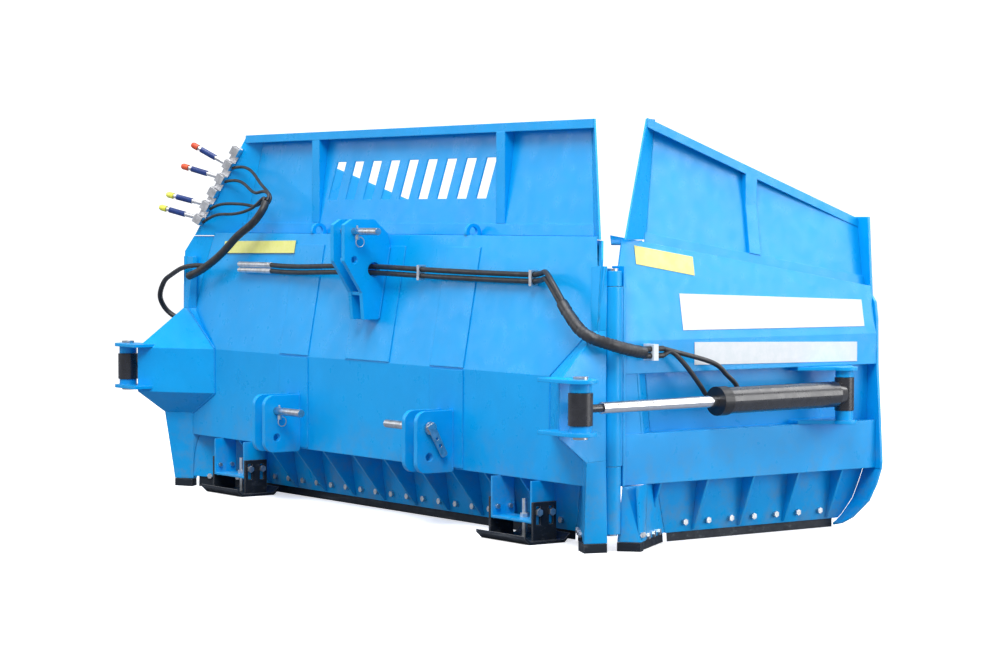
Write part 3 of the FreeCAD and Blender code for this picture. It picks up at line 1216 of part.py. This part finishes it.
doc.recompute()
faulty = [item.Name for item in doc.Objects if "Invalid" in item.State or "Error" in item.State]
if faulty:
    raise RuntimeError(f"features failed: {faulty}")
for name, feature in NODES.items():
    shape = feature.Shape
    if shape.isNull() or not shape.isValid() or not shape.Solids:
        raise RuntimeError(f"{name} has no valid solid")
    shape.exportStep(f"parts/{name}.step")
print(len(NODES), "nodes,", sum(len(feature.Shape.Solids) for feature in NODES.values()), "solids")
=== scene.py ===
import bpy
import json
import math
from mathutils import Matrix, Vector


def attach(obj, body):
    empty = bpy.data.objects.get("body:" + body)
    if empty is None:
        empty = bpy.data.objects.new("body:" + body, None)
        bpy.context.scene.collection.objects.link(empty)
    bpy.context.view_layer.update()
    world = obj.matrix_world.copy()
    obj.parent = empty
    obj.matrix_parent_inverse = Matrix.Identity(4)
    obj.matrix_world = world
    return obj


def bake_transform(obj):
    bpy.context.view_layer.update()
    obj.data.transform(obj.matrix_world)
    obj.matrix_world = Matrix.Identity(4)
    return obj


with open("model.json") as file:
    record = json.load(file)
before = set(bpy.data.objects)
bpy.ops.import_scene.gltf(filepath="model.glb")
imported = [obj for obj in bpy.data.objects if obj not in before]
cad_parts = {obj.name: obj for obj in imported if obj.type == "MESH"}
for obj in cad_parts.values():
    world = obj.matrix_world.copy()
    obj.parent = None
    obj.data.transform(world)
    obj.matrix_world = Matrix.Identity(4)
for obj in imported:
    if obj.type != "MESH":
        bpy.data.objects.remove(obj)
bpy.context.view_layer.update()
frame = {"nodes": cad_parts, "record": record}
nodes = frame["nodes"]

# Materials -----------------------------------------------------------------------------------------


class Shader:
    """Small helper that wires up one node material."""

    def __init__(self, name):
        self.material = bpy.data.materials.new(name)
        self.material.use_nodes = True
        self.tree = self.material.node_tree
        self.surface = self.tree.nodes["Principled BSDF"]
        self.place = self.add("ShaderNodeTexCoord").outputs["Object"]

    def add(self, kind, **settings):
        node = self.tree.nodes.new(kind)
        for key, value in settings.items():
            setattr(node, key, value)
        return node

    def join(self, source, target):
        self.tree.links.new(source, target)

    def feed(self, target, value):
        """Link an output, or set a plain value, on an input."""
        if isinstance(value, bpy.types.NodeSocket):
            self.join(value, target)
        else:
            target.default_value = value

    def noise(self, scale, detail=4.0, roughness=0.55, stretch=None):
        """Noise in metres, optionally stretched along the axes."""
        where = self.place
        if stretch:
            mapping = self.add("ShaderNodeMapping")
            mapping.inputs["Scale"].default_value = stretch
            self.join(where, mapping.inputs["Vector"])
            where = mapping.outputs["Vector"]
        node = self.add("ShaderNodeTexNoise")
        self.join(where, node.inputs["Vector"])
        node.inputs["Scale"].default_value = scale
        node.inputs["Detail"].default_value = detail
        node.inputs["Roughness"].default_value = roughness
        return node.outputs["Fac"]

    def band(self, value, low, high, bottom=0.0, top=1.0):
        """Remap a value smoothly from low..high to bottom..top."""
        node = self.add("ShaderNodeMapRange", interpolation_type="SMOOTHSTEP")
        self.feed(node.inputs["Value"], value)
        for name, number in (("From Min", low), ("From Max", high), ("To Min", bottom), ("To Max", top)):
            node.inputs[name].default_value = number
        return node.outputs["Result"]

    def math(self, operation, first, second):
        node = self.add("ShaderNodeMath", operation=operation, use_clamp=operation != "SUBTRACT")
        self.feed(node.inputs[0], first)
        self.feed(node.inputs[1], second)
        return node.outputs["Value"]

    def blend(self, factor, first, second):
        """Mix two colours."""
        node = self.add("ShaderNodeMix", data_type="RGBA")
        self.feed(node.inputs["Factor"], factor)
        self.feed(node.inputs["A"], first)
        self.feed(node.inputs["B"], second)
        return node.outputs["Result"]

    def edges(self, radius):
        """White on sharp edges, from a rounded normal compared with the flat one."""
        round_normal = self.add("ShaderNodeBevel", samples=4)
        round_normal.inputs["Radius"].default_value = radius
        flat = self.add("ShaderNodeNewGeometry").outputs["Normal"]
        dot = self.add("ShaderNodeVectorMath", operation="DOT_PRODUCT")
        self.join(round_normal.outputs["Normal"], dot.inputs[0])
        self.join(flat, dot.inputs[1])
        return self.band(dot.outputs["Value"], 0.98, 0.80), round_normal.outputs["Normal"]

    def height(self):
        """Level above the ground, in metres."""
        split = self.add("ShaderNodeSeparateXYZ")
        self.join(self.place, split.inputs["Vector"])
        return split.outputs["Z"]

    def bump(self, value, strength, distance, normal=None):
        node = self.add("ShaderNodeBump")
        node.inputs["Strength"].default_value = strength
        node.inputs["Distance"].default_value = distance
        self.join(value, node.inputs["Height"])
        if normal is not None:
            self.join(normal, node.inputs["Normal"])
        self.join(node.outputs["Normal"], self.surface.inputs["Normal"])

    def finish(self, colour, roughness, metallic=0.0, coat=0.0):
        self.feed(self.surface.inputs["Base Color"], colour)
        self.feed(self.surface.inputs["Roughness"], roughness)
        self.feed(self.surface.inputs["Metallic"], metallic)
        self.surface.inputs["Coat Weight"].default_value = coat
        self.surface.inputs["Coat Roughness"].default_value = 0.12
        return self.material


def painted(name, colour, shade, dust=0.35):
    """Sprayed gloss paint: soft mottling, pale worn edges and a little dust low down."""
    shader = Shader(name)
    mottle = shader.band(shader.noise(1.7, 5.0), 0.35, 0.70)
    base = shader.blend(mottle, colour, shade)
    cloud = shader.band(shader.noise(9.0, 6.0), 0.40, 0.75, 0.0, 0.35)
    base = shader.blend(cloud, base, tuple(min(1.0, part * 1.15) for part in colour[:3]) + (1,))
    edge, round_normal = shader.edges(0.004)
    worn = shader.math("MULTIPLY", edge, shader.band(shader.noise(38.0, 5.0), 0.45, 0.62, 0.15, 0.75))
    base = shader.blend(worn, base, (0.10, 0.48, 0.86, 1))
    low = shader.band(shader.height(), 0.45, 0.02)
    grime = shader.math("MULTIPLY", low, shader.band(shader.noise(14.0, 8.0, 0.65), 0.42, 0.70, 0.0, dust))
    base = shader.blend(grime, base, (0.20, 0.22, 0.24, 1))
    rough = shader.band(shader.noise(22.0, 6.0), 0.3, 0.7, 0.26, 0.44)
    rough = shader.math("ADD", rough, shader.math("MULTIPLY", grime, 0.35))
    peel = shader.noise(420.0, 2.0)
    shader.bump(peel, 0.05, 0.0006, round_normal)
    shader.surface.inputs["Specular IOR Level"].default_value = 0.30
    return shader.finish(base, rough, 0.0, 0.05)


def worn_steel(name, colour, scuff):
    """Dark abrasion-resistant steel with long scuffs and a bright worn lower edge."""
    shader = Shader(name)
    streak = shader.band(shader.noise(9.0, 9.0, 0.7, (0.6, 3.0, 6.0)), 0.52, 0.72)
    base = shader.blend(streak, colour, scuff)
    edge, round_normal = shader.edges(0.003)
    base = shader.blend(shader.math("MULTIPLY", edge, 0.6), base, (0.30, 0.30, 0.31, 1))
    rust = shader.band(shader.noise(6.0, 8.0, 0.7), 0.60, 0.78, 0.0, 0.45)
    base = shader.blend(rust, base, (0.10, 0.055, 0.035, 1))
    rough = shader.band(shader.noise(30.0, 6.0), 0.3, 0.7, 0.38, 0.62)
    shader.bump(shader.noise(160.0, 5.0), 0.25, 0.0008, round_normal)
    return shader.finish(base, rough, 0.35)


def bright_metal(name, colour, rough_low, rough_high, grain=(1.0, 1.0, 1.0)):
    """Machined, plated or chromed metal with fine grain."""
    shader = Shader(name)
    tone = shader.band(shader.noise(60.0, 4.0, 0.6, grain), 0.3, 0.7)
    base = shader.blend(tone, colour, tuple(part * 0.72 for part in colour[:3]) + (1,))
    edge, round_normal = shader.edges(0.0015)
    base = shader.blend(shader.math("MULTIPLY", edge, 0.5), base, (0.95, 0.95, 0.95, 1))
    rough = shader.band(shader.noise(25.0, 5.0), 0.3, 0.7, rough_low, rough_high)
    shader.bump(shader.noise(500.0, 3.0, 0.5, grain), 0.08, 0.0003, round_normal)
    return shader.finish(base, rough, 1.0)


def soft_gloss(name, colour, second, rough_low, rough_high, scale=40.0, coat=0.0):
    """Rubber, moulded plastic or black enamel."""
    shader = Shader(name)
    tone = shader.band(shader.noise(scale, 5.0), 0.35, 0.70)
    base = shader.blend(tone, colour, second)
    edge, round_normal = shader.edges(0.0015)
    lighter = tuple(min(1.0, part * 1.6 + 0.03) for part in colour[:3]) + (1,)
    base = shader.blend(shader.math("MULTIPLY", edge, 0.5), base, lighter)
    rough = shader.band(shader.noise(scale * 0.7, 5.0), 0.3, 0.7, rough_low, rough_high)
    shader.bump(shader.noise(600.0, 2.0), 0.08, 0.0003, round_normal)
    return shader.finish(base, rough, 0.0, coat)


BLUE = painted("azure_paint", (0.0, 0.355, 0.80, 1), (0.0, 0.32, 0.75, 1))
WEAR = worn_steel("wear_steel", (0.012, 0.018, 0.028, 1), (0.07, 0.08, 0.09, 1))
PIN = bright_metal("pin_steel", (0.62, 0.63, 0.66, 1), 0.25, 0.42)
ZINC = bright_metal("zinc_plate", (0.75, 0.77, 0.78, 1), 0.30, 0.48)
CHROME = bright_metal("hard_chrome", (0.86, 0.86, 0.88, 1), 0.10, 0.20, (30.0, 1.0, 1.0))
ENAMEL = soft_gloss("black_enamel", (0.012, 0.012, 0.016, 1), (0.02, 0.02, 0.026, 1), 0.22, 0.38, coat=0.5)
HOSE = soft_gloss("hose_rubber", (0.012, 0.013, 0.016, 1), (0.025, 0.026, 0.03, 1), 0.34, 0.55)
SLEEVE = soft_gloss("coupler_sleeve", (0.01, 0.03, 0.16, 1), (0.01, 0.045, 0.20, 1), 0.30, 0.45)
CAP_RED = soft_gloss("red_cap", (0.62, 0.06, 0.02, 1), (0.70, 0.10, 0.03, 1), 0.35, 0.50)
CAP_YELLOW = soft_gloss("yellow_cap", (0.78, 0.74, 0.06, 1), (0.82, 0.80, 0.15, 1), 0.35, 0.50)
CLAMP = bright_metal("clamp_alloy", (0.80, 0.80, 0.82, 1), 0.35, 0.50)

BEAD = painted("weld_bead_paint", (0.0, 0.32, 0.78, 1), (0.0, 0.27, 0.70, 1), 0.2)
CONDUIT = soft_gloss("corrugated_conduit", (0.016, 0.017, 0.021, 1), (0.03, 0.031, 0.036, 1), 0.36, 0.55)
GLAND = soft_gloss("gland_black", (0.006, 0.006, 0.008, 1), (0.012, 0.012, 0.015, 1), 0.30, 0.45)
LABEL_YELLOW = soft_gloss("yellow_film", (0.74, 0.74, 0.20, 1), (0.78, 0.77, 0.26, 1), 0.30, 0.42)
LABEL_WHITE = soft_gloss("white_film", (0.64, 0.69, 0.72, 1), (0.70, 0.73, 0.76, 1), 0.30, 0.42)

BY_SLOT = {
    "painted_steel": BLUE, "doubler_paint": BLUE, "wear_steel": WEAR, "pin_steel": PIN,
    "zinc_fasteners": ZINC, "rod_chrome": CHROME, "cylinder_paint": ENAMEL, "hose_rubber": HOSE,
    "coupler_plastic": SLEEVE, "cap_plastic": CAP_RED, "clamp_metal": CLAMP,
}
for part in frame["record"]["subparts"]:
    surface = BY_SLOT[part["material_slot"]]
    piece = nodes[part["node"]]
    piece.data.materials.clear()
    piece.data.materials.append(surface)

# Shared mesh helpers -------------------------------------------------------------------------------

SHIFT = Vector((0, -0.104, 0))
HOSE_RADIUS = 0.009
PORT_HOSE_RADIUS = 0.008
CONDUIT_RADIUS = 0.019
FILM = 0.0008
THIN_BEAD = 0.003


def place(x, y, z):
    """Point given in millimetres from the midpoint between the hinges, in the frame's metres."""
    return Vector((x, y, z)) / 1000 + SHIFT


def smooth_path(points, step=0.006):
    """Evenly walked Catmull-Rom curve through the points."""
    padded = [points[0] * 2 - points[1]] + list(points) + [points[-1] * 2 - points[-2]]
    walked = []
    for index in range(1, len(padded) - 2):
        before, first, second, after = padded[index - 1:index + 3]
        count = max(2, int((second - first).length / step))
        for number in range(count):
            t = number / count
            walked.append(0.5 * ((2 * first) + (second - before) * t
                                 + (2 * before - 5 * first + 4 * second - after) * t * t
                                 + (3 * first - before - 3 * second + after) * t * t * t))
    walked.append(points[-1].copy())
    return walked


def make_mesh(name, vertices, faces, material, smooth=True):
    """Object in the scene from plain vertices and faces."""
    mesh = bpy.data.meshes.new(name)
    mesh.from_pydata([tuple(vertex) for vertex in vertices], [], faces)
    mesh.update()
    mesh.materials.append(material)
    for face in mesh.polygons:
        face.use_smooth = smooth
    piece = bpy.data.objects.new(name, mesh)
    bpy.context.scene.collection.objects.link(piece)
    return piece


def tube(name, points, radius, material, ridge=0.0, pitch=0.011, sides=20, step=0.006):
    """Round hose along a path; ridges make it a corrugated sleeve."""
    path = smooth_path(points, step)
    vertices = []
    faces = []
    tangent = (path[1] - path[0]).normalized()
    across = tangent.cross(Vector((0, 0, 1)))
    if across.length < 0.1:
        across = tangent.cross(Vector((1, 0, 0)))
    across.normalize()
    walked = 0.0
    for index, point in enumerate(path):
        ahead = path[min(index + 1, len(path) - 1)] - path[max(index - 1, 0)]
        tangent = ahead.normalized()
        across = (across - tangent * across.dot(tangent)).normalized()
        up = tangent.cross(across)
        if index:
            walked += (point - path[index - 1]).length
        swell = radius + ridge * math.sin(2 * math.pi * walked / pitch)
        for side in range(sides):
            angle = 2 * math.pi * side / sides
            vertices.append(point + (across * math.cos(angle) + up * math.sin(angle)) * swell)
    for ring in range(len(path) - 1):
        for side in range(sides):
            other = (side + 1) % sides
            faces.append((ring * sides + side, ring * sides + other, (ring + 1) * sides + other,
                          (ring + 1) * sides + side))
    faces.append(tuple(reversed(range(sides))))
    faces.append(tuple((len(path) - 1) * sides + side for side in range(sides)))
    return make_mesh(name, vertices, faces, material)


def weld(name, body, points, radius=0.0035):
    """Rippled weld bead along a line."""
    bead = tube(name, points, radius, BEAD, ridge=radius * 0.22, pitch=0.006, sides=10, step=0.002)
    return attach(bead, body)


def slab(name, body, corners, thick, material):
    """Thin four-cornered plate with eased edges; corners run round its face."""
    lift = (corners[1] - corners[0]).cross(corners[3] - corners[0]).normalized() * thick
    vertices = list(corners) + [corner + lift for corner in corners]
    faces = [(3, 2, 1, 0), (4, 5, 6, 7), (0, 1, 5, 4), (1, 2, 6, 5), (2, 3, 7, 6), (3, 0, 4, 7)]
    piece = make_mesh(name, vertices, faces, material, False)
    bevel = piece.modifiers.new("eased", "BEVEL")
    bevel.width = thick * 0.3
    bevel.segments = 2
    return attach(piece, body)


# Two-tone pieces -----------------------------------------------------------------------------------


def repaint(node_name, material, chosen):
    """Give a second material to the faces of a CAD node that the test picks by their centre."""
    piece = nodes[node_name]
    piece.data.materials.append(material)
    index = len(piece.data.materials) - 1
    turn = piece.matrix_world
    for face in piece.data.polygons:
        if chosen(turn @ face.center, face):
            face.material_index = index


WING_HOSE_LEVELS = (0.618, 0.640)
WING_HOSE_X = 1.345
GLAND_END = 0.2805
SKID_SCREW = (0.905, -0.144)
SKID_SCREW_REACH = 0.0095
COUPLER_BASES = ((126, 4), (188, 16), (312, 18), (374, 17))
HOLDER_AXES = (Vector((-0.4335, -0.2890, -0.8535)), Vector((0.5548, -0.8320, 0)),
               Vector((-0.7100, -0.4735, 0.5210)))
HOLDER_BASE = place(-1095.6, 84.3, 1370)


def coupler_place(point):
    """Distance along the nearest coupler and out from its axis, in metres."""
    best = (9.0, 0.0)
    for middle, droop in COUPLER_BASES:
        lean = math.radians(droop)
        start = HOLDER_BASE + HOLDER_AXES[0] * middle / 1000 + HOLDER_AXES[1] * 0.013 + HOLDER_AXES[2] * 0.012
        way = HOLDER_AXES[0] * math.sin(lean) + HOLDER_AXES[2] * math.cos(lean)
        along = (point - start).dot(way)
        out = (point - start - way * along).length
        best = min(best, (out, along))
    return best[1], best[0]


repaint("couplers", CLAMP, lambda point, face: not 0.0455 < coupler_place(point)[0] < 0.1155)
repaint("coupler_caps", CAP_YELLOW, lambda point, face: point.z < 1.22)


def off_hose(point):
    """Distance of a point from the nearer of the two hose ends on a wing."""
    across = abs(point.x) - WING_HOSE_X
    return min(math.hypot(across, point.z - level) for level in WING_HOSE_LEVELS)


def off_screw(point):
    """Distance of a point from the nearer skid's height screw, seen from above."""
    return math.hypot(abs(point.x) - SKID_SCREW[0], point.y - SKID_SCREW[1])


for label in ("right", "left"):
    repaint(f"{label}_wing_hoses", LABEL_WHITE, lambda point, face: off_hose(point) > 0.0095
            or (0.023 < point.y < 0.045 and off_hose(point) > 0.0091))
    repaint(f"{label}_cylinder_barrel", GLAND, lambda point, face: point.y < GLAND_END)
    repaint(f"{label}_skid_shoe", ZINC,
            lambda point, face: point.z > 0.02 and off_screw(point) < SKID_SCREW_REACH)

# Hoses that bend across the joints -----------------------------------------------------------------

for number, lift in enumerate((-11, 11)):
    hose = tube(f"right_crossing_hose_{number}", [
        place(943, -30, 859 + lift), place(985, -36, 864 + lift), place(1040, -58, 868 + lift),
        place(1110, -84, 836 + lift), place(1180, -96, 778 + lift)], HOSE_RADIUS, HOSE)
    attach(hose, "frame")
sleeve = tube("right_crossing_sleeve", [
    place(1176, -96, 783), place(1215, -102, 752), place(1290, -112, 703), place(1350, -104, 677),
    place(1374, -62, 661), place(1374, -12, 648), place(1366, 44, 637), place(1352, 92, 630)],
    CONDUIT_RADIUS, CONDUIT, ridge=0.0016)
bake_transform(sleeve)
for number, shift in enumerate((0, 18)):
    across, ahead = 0.8 * shift, -0.6 * shift
    clamp_level = 629 - 11 + 22 * number
    loop = tube(f"left_crossing_hose_{number}", [
        place(-1140 + across, -60 + ahead, 868), place(-1220 + across, -66 + ahead, 868),
        place(-1300 + across, -72 + ahead, 858), place(-1390 + across, -68 + ahead, 832),
        place(-1472 + across, -60 + ahead, 800), place(-1548 + across, -36 + ahead, 738),
        place(-1556 + across, 0 + ahead, 682), place(-1510 + across, 40 + ahead, 645),
        place(-1430, 74, clamp_level), place(-1345, 99, clamp_level)], HOSE_RADIUS, HOSE)
    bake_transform(loop)
for side, label in ((1, "right"), (-1, "left")):
    for number, route in enumerate((
            ((1346, 215, 628), (1348, 270, 585), (1342, 335, 520), (1336, 375, 480), (1352, 401, 469)),
            ((1350, 380, 590), (1347, 450, 545), (1343, 492, 512), (1346, 506, 475)))):
        start = place(side * 1345, 179, 618 + 22 * number)
        run = tube(f"{label}_port_hose_{number}",
                   [start] + [place(side * x, reach, level) for x, reach, level in route],
                   PORT_HOSE_RADIUS, HOSE)
        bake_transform(run)

# Weld beads ----------------------------------------------------------------------------------------

for side, label in ((1, "right"), (-1, "left")):
    weld(f"{label}_flare_weld_low", "frame", [place(side * 1069, -63, 374), place(side * 1069, -63, 546)])
    weld(f"{label}_flare_weld_high", "frame", [place(side * 1070, -63, 548), place(side * 1180, -62, 628),
                                               place(side * 1279, -62, 700)])
    weld(f"{label}_flare_weld_floor", "frame", [place(side * 1070, -63, 373), place(side * 1160, -63, 328),
                                                place(side * 1239, -63, 290)])
    for outer in (45, 26, -26, -45):
        face = 1 if outer > 0 else -1
        x = side * 490 + outer
        weld(f"{label}_ear_weld_{face}_{outer}", "frame",
             [place(x, -67, 200), place(x, -67, 300), place(x, -67, 400)], THIN_BEAD)
    for number, (body, lead, low, high) in enumerate((
            ("frame", -31, 120, 200), (f"{label}_wing", 31, 360, 760), ("frame", -31, 845, 884))):
        weld(f"{label}_knuckle_weld_{number}", body,
             [place(side * 1296, lead, low), place(side * 1296, lead, high)], THIN_BEAD)
for outer in (46, -46):
    weld(f"mast_weld_{outer}", "frame", [place(outer, -42, 700), place(outer, 4, 950)], THIN_BEAD)

for side, label in ((1, "right"), (-1, "left")):
    for number, (ahead, reach, level) in enumerate(((56, 78, 52), (46, 92, 52), (20, 60, 88))):
        bolt = tube(f"{label}_foot_bolt_{number}", [place(side * (1302 + ahead), reach, level),
                                                    place(side * (1318 + ahead), reach - 3, level)],
                    0.009, ZINC, sides=6, step=0.02)
        for face in bolt.data.polygons:
            face.use_smooth = False
        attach(bolt, f"{label}_wing")

# Plain plates in place of the printed labels -------------------------------------------------------


def casing_point(x, level, lift=5.0):
    """Point just off the casing's sloping face."""
    return place(x, -62 + (level - 546) * 77 / 426 - lift, level)


def wing_point(side, reach, level, lift=1.0):
    """Point just off a wing's sloping face; side is 1 on the right and -1 on the left."""
    forward = max(0.0, (level - 665) * 0.178)
    point = place(1310 - forward + lift, reach, level)
    return Vector((side * point.x, point.y, point.z))


slab("casing_plate_yellow", "frame",
     [casing_point(-1110, 917), casing_point(-590, 923), casing_point(-590, 970), casing_point(-1110, 964)],
     FILM, LABEL_YELLOW)
for side, label in ((1, "right"), (-1, "left")):
    for name, corners, film in (
            ("yellow", ((130, 908), (370, 869), (370, 930), (130, 968)), LABEL_YELLOW),
            ("wide", ((296, 694), (1102, 690), (1102, 780), (296, 812)), LABEL_WHITE),
            ("narrow", ((340, 581), (1064, 572), (1064, 638), (340, 655)), LABEL_WHITE)):
        slab(f"{label}_wing_plate_{name}", f"{label}_wing",
             [wing_point(side, *corner) for corner in corners][::side], FILM, film)

# Stage ---------------------------------------------------------------------------------------------

bpy.ops.mesh.primitive_plane_add(size=60, location=(0, 0, -0.0005))
floor = bpy.context.object
floor.name = "studio_floor"
floor_shader = Shader("pale_floor")
floor_mottle = floor_shader.band(floor_shader.noise(0.6, 3.0), 0.3, 0.7)
floor_tone = floor_shader.blend(floor_mottle, (0.92, 0.92, 0.93, 1), (0.95, 0.95, 0.96, 1))
seen = floor_shader.add("ShaderNodeLightPath").outputs["Is Camera Ray"]
floor_tone = floor_shader.blend(seen, (0.24, 0.26, 0.30, 1), floor_tone)
floor_shader.surface.inputs["Emission Color"].default_value = (1, 1, 1, 1)
floor_shader.feed(floor_shader.surface.inputs["Emission Strength"], floor_shader.math("MULTIPLY", seen, 0.55))
floor_shader.surface.inputs["Specular IOR Level"].default_value = 0.1
floor.data.materials.append(floor_shader.finish(floor_tone, 0.85))

world = bpy.data.worlds.new("soft_studio")
bpy.context.scene.world = world
world.use_nodes = True
backdrop = world.node_tree.nodes["Background"]
backdrop.inputs["Color"].default_value = (0.95, 0.97, 1.0, 1)
camera_sees = world.node_tree.nodes.new("ShaderNodeLightPath").outputs["Is Camera Ray"]
glow = world.node_tree.nodes.new("ShaderNodeMapRange")
glow.inputs["To Min"].default_value = 0.54
glow.inputs["To Max"].default_value = 1.25
world.node_tree.links.new(camera_sees, glow.inputs["Value"])
world.node_tree.links.new(glow.outputs["Result"], backdrop.inputs["Strength"])


def softbox(name, spot, aim, width, power, colour=(1, 1, 1)):
    """Large square light aimed at a point."""
    data = bpy.data.lights.new(name, "AREA")
    data.size = width
    data.energy = power
    data.color = colour
    light = bpy.data.objects.new(name, data)
    light.location = spot
    light.rotation_euler = (Vector(aim) - Vector(spot)).to_track_quat("-Z", "Y").to_euler()
    light.visible_camera = False
    bpy.context.scene.collection.objects.link(light)


softbox("key_light", (5.0, -4.5, 7.5), (0.3, 0.1, 0.6), 3.5, 610)
softbox("top_light", (0.5, -0.5, 7.0), (0.3, 0.1, 0.6), 5.0, 400)
softbox("side_light", (8.0, 6.0, 2.4), (1.0, 0.3, 0.7), 5.5, 470)
softbox("fill_light", (-6.0, -6.0, 4.0), (0, 0, 0.6), 5.0, 150, (0.9, 0.95, 1.0))
softbox("rim_light", (2.0, 7.0, 5.0), (0.5, 0.5, 0.8), 4.0, 200)

camera_data = bpy.data.cameras.new("viewpoint")
camera_data.lens = 94.54
camera_data.sensor_width = 36
camera = bpy.data.objects.new("viewpoint", camera_data)
camera.location = (7.7744, -5.2908, 1.0448)
camera.rotation_euler = (math.radians(90 - 2.4542), math.radians(-0.13), math.radians(53.7135))
bpy.context.scene.collection.objects.link(camera)
bpy.context.scene.camera = camera
bpy.context.scene.view_settings.view_transform = "Standard"
